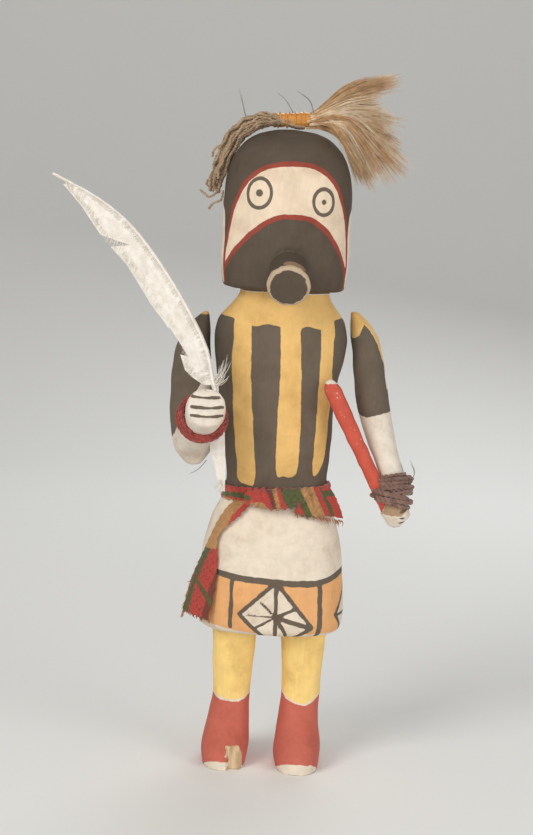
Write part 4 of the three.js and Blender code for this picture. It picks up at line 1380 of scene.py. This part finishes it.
# The tail's outer edge as [height, x], from its foot up, so that x can be looked up by height.
TAIL_OUTER = np.array([(72.6, -41.2), (85, -38.6), (97.6, -34.2), (108, -30), (120.6, -24.6), (130, -16.5)])
TAIL_CHANGE = 104

sash, sash_points = carved_copy("sash", voxel=0.5, passes=4, relief=0.0)
sash.name = "sash_cloth"
sx, sy, sz = sash_points.T
folds = 0.35 * np.sin(1.9 * sx + 0.9 * sz) + 0.25 * np.sin(1.3 * sz - 2.3 * sx + 0.6 * sy)
knotted = np.clip(1.4 - np.abs(sx) / 26, 0.3, 1)
write_points(sash.data, to_scene(sash_points + read_normals(sash.data) * (folds * knotted)[:, None]))


def tail_dye(x, z):
    """Tan with a red patch above, and below it red with dark dots, a green edge and a green slant."""
    across = x - np.interp(z, TAIL_OUTER[:, 0], TAIL_OUTER[:, 1])
    colours = stripes(across, [(2.2, CLOTH_GREEN), (9, CLOTH_RED), (30, CLOTH_DARK)])
    above = z > TAIL_CHANGE
    colours[above] = stripes(across, [(4.5, CLOTH_TAN), (8.5, CLOTH_RED), (30, CLOTH_TAN)])[above]
    colours[np.abs(z - 87.5 + 1.3 * (x + 35)) < 1.6] = CLOTH_GREEN
    colours[(np.sin(2.2 * x) * np.sin(2.2 * z) > 0.72) & (z < TAIL_CHANGE)] = CLOTH_DARK
    return colours


height = sz - BAND_RISE * sx - BAND_FOOT
dye = stripes(height, [(2.2, CLOTH_RED), (4.6, CLOTH_GREEN), (20, CLOTH_RED)])
on_knot = (np.abs(sx) < 12) & (sy < -19)
weave = 3.2 * np.sin(0.35 * sx) + sx + 0.6 * height
knot_bands = [(-8, CLOTH_TAN), (-4, CLOTH_RED), (0, CLOTH_DARK), (4, CLOTH_TAN), (8, CLOTH_RED),
              (30, CLOTH_GREEN)]
dye[on_knot] = stripes(weave, knot_bands)[on_knot]
on_fan = (sx > 10) & (sz < 135.5) & (sy < -13)
spread = sx - 0.5 * (134 - sz)
fan_bands = [(8, CLOTH_RED), (11.5, CLOTH_GREEN), (17.5, CLOTH_TAN), (20, CLOTH_RED), (22.5, CLOTH_GREEN),
             (40, CLOTH_TAN)]
dye[on_fan] = stripes(spread, fan_bands)[on_fan]
on_tail = (sx < -13) & (sz < 127.5) & (sy < 2)
dye[on_tail] = tail_dye(sx, sz)[on_tail]
dye_layer = sash.data.attributes.new("dye", "FLOAT_COLOR", "POINT")
dye_layer.data.foreach_set("color", np.column_stack([dye, np.ones(len(dye))]).ravel())
finish_piece(sash, WOVEN_CLOTH, "sash")
print("dyed points:", len(dye))

# %% [markdown]
# Where the cloth was cut, its threads hang out as a fringe: along the tail's outer edge, along the fan's
# foot and along the tail's foot. The fringe is a piece of its own.

# %% Fringe of the sash
random = np.random.default_rng(41)
FRINGE_RADIUS = 0.26


def fringe_thread(root, lean, droop, scatter):
    """One thread: it leaves its root along lean and ends about root + droop, scattered by some mm."""
    return smooth_line([root, root + lean, root + random.normal(0, scatter, 3) + droop], steps=3)


fringe = []
for share in np.linspace(0, 1, 34):
    z = 98 - 26 * share
    root = np.array([np.interp(z, TAIL_OUTER[:, 0], TAIL_OUTER[:, 1]) + 0.6, -12.5, z])
    fringe.append(fringe_thread(root, (-1, -0.4, -1.2), (-1.4, 0, -2.8), 0.6))
for share in np.linspace(0, 1, 26):
    root = np.array([9 + 22 * share, -20.5 + 3.5 * share, 123.6 - 3.4 * share])
    fringe.append(fringe_thread(root, (0.6, -0.3, -1), (1.2, 0, -2), 0.6))
for share in np.linspace(0, 1, 20):
    root = np.array([-40 + 11 * share, -12 - 8.5 * share, 73 - 1.6 * share])
    fringe.append(fringe_thread(root, (0.2, -0.3, -1), (0, 0, -2.2), 0.5))
fringe_threads = guides("sash_fringe", fringe, [FRINGE_RADIUS] * len(fringe))
FRINGE_WOOL = fibre_material("fringe_wool", (0.46, 0.24, 0.10), (0.24, 0.045, 0.03))
grow(fringe_threads, HAIR_TREE, hairs=2, root_spread=0.25 * MM, tip_spread=0.6 * MM, sides=4, seed=9,
     material=FRINGE_WOOL)
finish_piece(fringe_threads, FRINGE_WOOL, None)

# %% [markdown]
# The binding is a strip of orange-yellow hide wound tightly round the roots of the hair. It is the
# glossiest finish on the doll. Its turns show as low ridges, made as one wound strand over the packed
# form.

# %% The binding
BINDING_TURNS = 7
BINDING_LEFT, BINDING_LENGTH = -9.8, 15.4
BINDING_HEIGHT, BINDING_RADIUS = 304.7, 3.35

hide = fibre_material("glossy_hide", (0.72, 0.34, 0.07), (0.48, 0.17, 0.03), roughness=0.32, sheen=0.0)
turn = np.linspace(0, 2 * math.pi * BINDING_TURNS, 180)
ridge = np.column_stack([BINDING_LEFT + BINDING_LENGTH * turn / turn[-1], BINDING_RADIUS * np.cos(turn),
                         BINDING_HEIGHT + turn / turn[-1] + BINDING_RADIUS * np.sin(turn)])
hide_turns = guides("hide_turns", [ridge], [0.62])
grow(hide_turns, YARN_TREE, plies=1, twist_length=30 * MM, step=0.5 * MM, sides=8, material=hide)
finish_piece(hide_turns, hide, None)
paint_packed("tuft_binding", hide)

# %% [markdown]
# A few loose hairs stand up from the crown, and thread ends hang by both wrists. Each is a short list of
# given points, and the hair tree gives it two fine strands.

# %% Stray hairs and threads
STRAYS = [
    [(-22.6, 2, 303), (-24.6, 2, 310.6), (-26.6, 2, 318.0)],
    [(-1, 1, 308), (-5, 1, 313.9), (-9.2, 1, 317.0)],
    [(8.5, -1, 308), (6.2, -1, 314.2), (0.1, -1, 318.3)],
    [(-33, -34, 148), (-36.5, -34, 143.5), (-40.2, -34, 141)],
    [(60.6, -12, 138), (64.4, -12, 143.3), (62.3, -12, 149.8)],
    [(54.5, -8, 152.9), (57.5, -8, 148), (59.4, -8, 142.6)],
]
strays = guides("stray_threads", [smooth_line(line, steps=6) for line in STRAYS], [0.2] * len(STRAYS))
grow(strays, HAIR_TREE, hairs=2, root_spread=0.1 * MM, tip_spread=0.6 * MM, sides=4, seed=3,
     material=GREY_THREAD)
finish_piece(strays, GREY_THREAD, None)

# %% [markdown]
# The doll stands on a plain pale sheet that curves up behind it, so the front view has no horizon.

# %% Floor and backdrop
FLOOR_FRONT = -3.0
SWEEP_START, SWEEP_RADIUS, WALL_TOP, HALF_WIDTH = 0.9, 0.7, 3.5, 4.0

profile = [(FLOOR_FRONT, 0.0)]
profile += [(SWEEP_START + SWEEP_RADIUS * math.sin(a), SWEEP_RADIUS * (1 - math.cos(a)))
            for a in np.linspace(0, math.pi / 2, 24)]
profile.append((SWEEP_START + SWEEP_RADIUS, WALL_TOP))
sweep_points = [(x, y, z) for y, z in profile for x in (-HALF_WIDTH, HALF_WIDTH)]
sweep_faces = [(2 * i, 2 * i + 1, 2 * i + 3, 2 * i + 2) for i in range(len(profile) - 1)]
sweep_mesh = bpy.data.meshes.new("backdrop")
sweep_mesh.from_pydata(sweep_points, [], sweep_faces)
for face in sweep_mesh.polygons:
    face.use_smooth = True
backdrop = new_object("backdrop", sweep_mesh)
paper = bpy.data.materials.new("pale_paper")
paper.use_nodes = True
paper_shader = paper.node_tree.nodes["Principled BSDF"]
paper_shader.inputs["Base Color"].default_value = (0.84, 0.84, 0.82, 1)
paper_shader.inputs["Roughness"].default_value = 0.9
sweep_mesh.materials.append(paper)
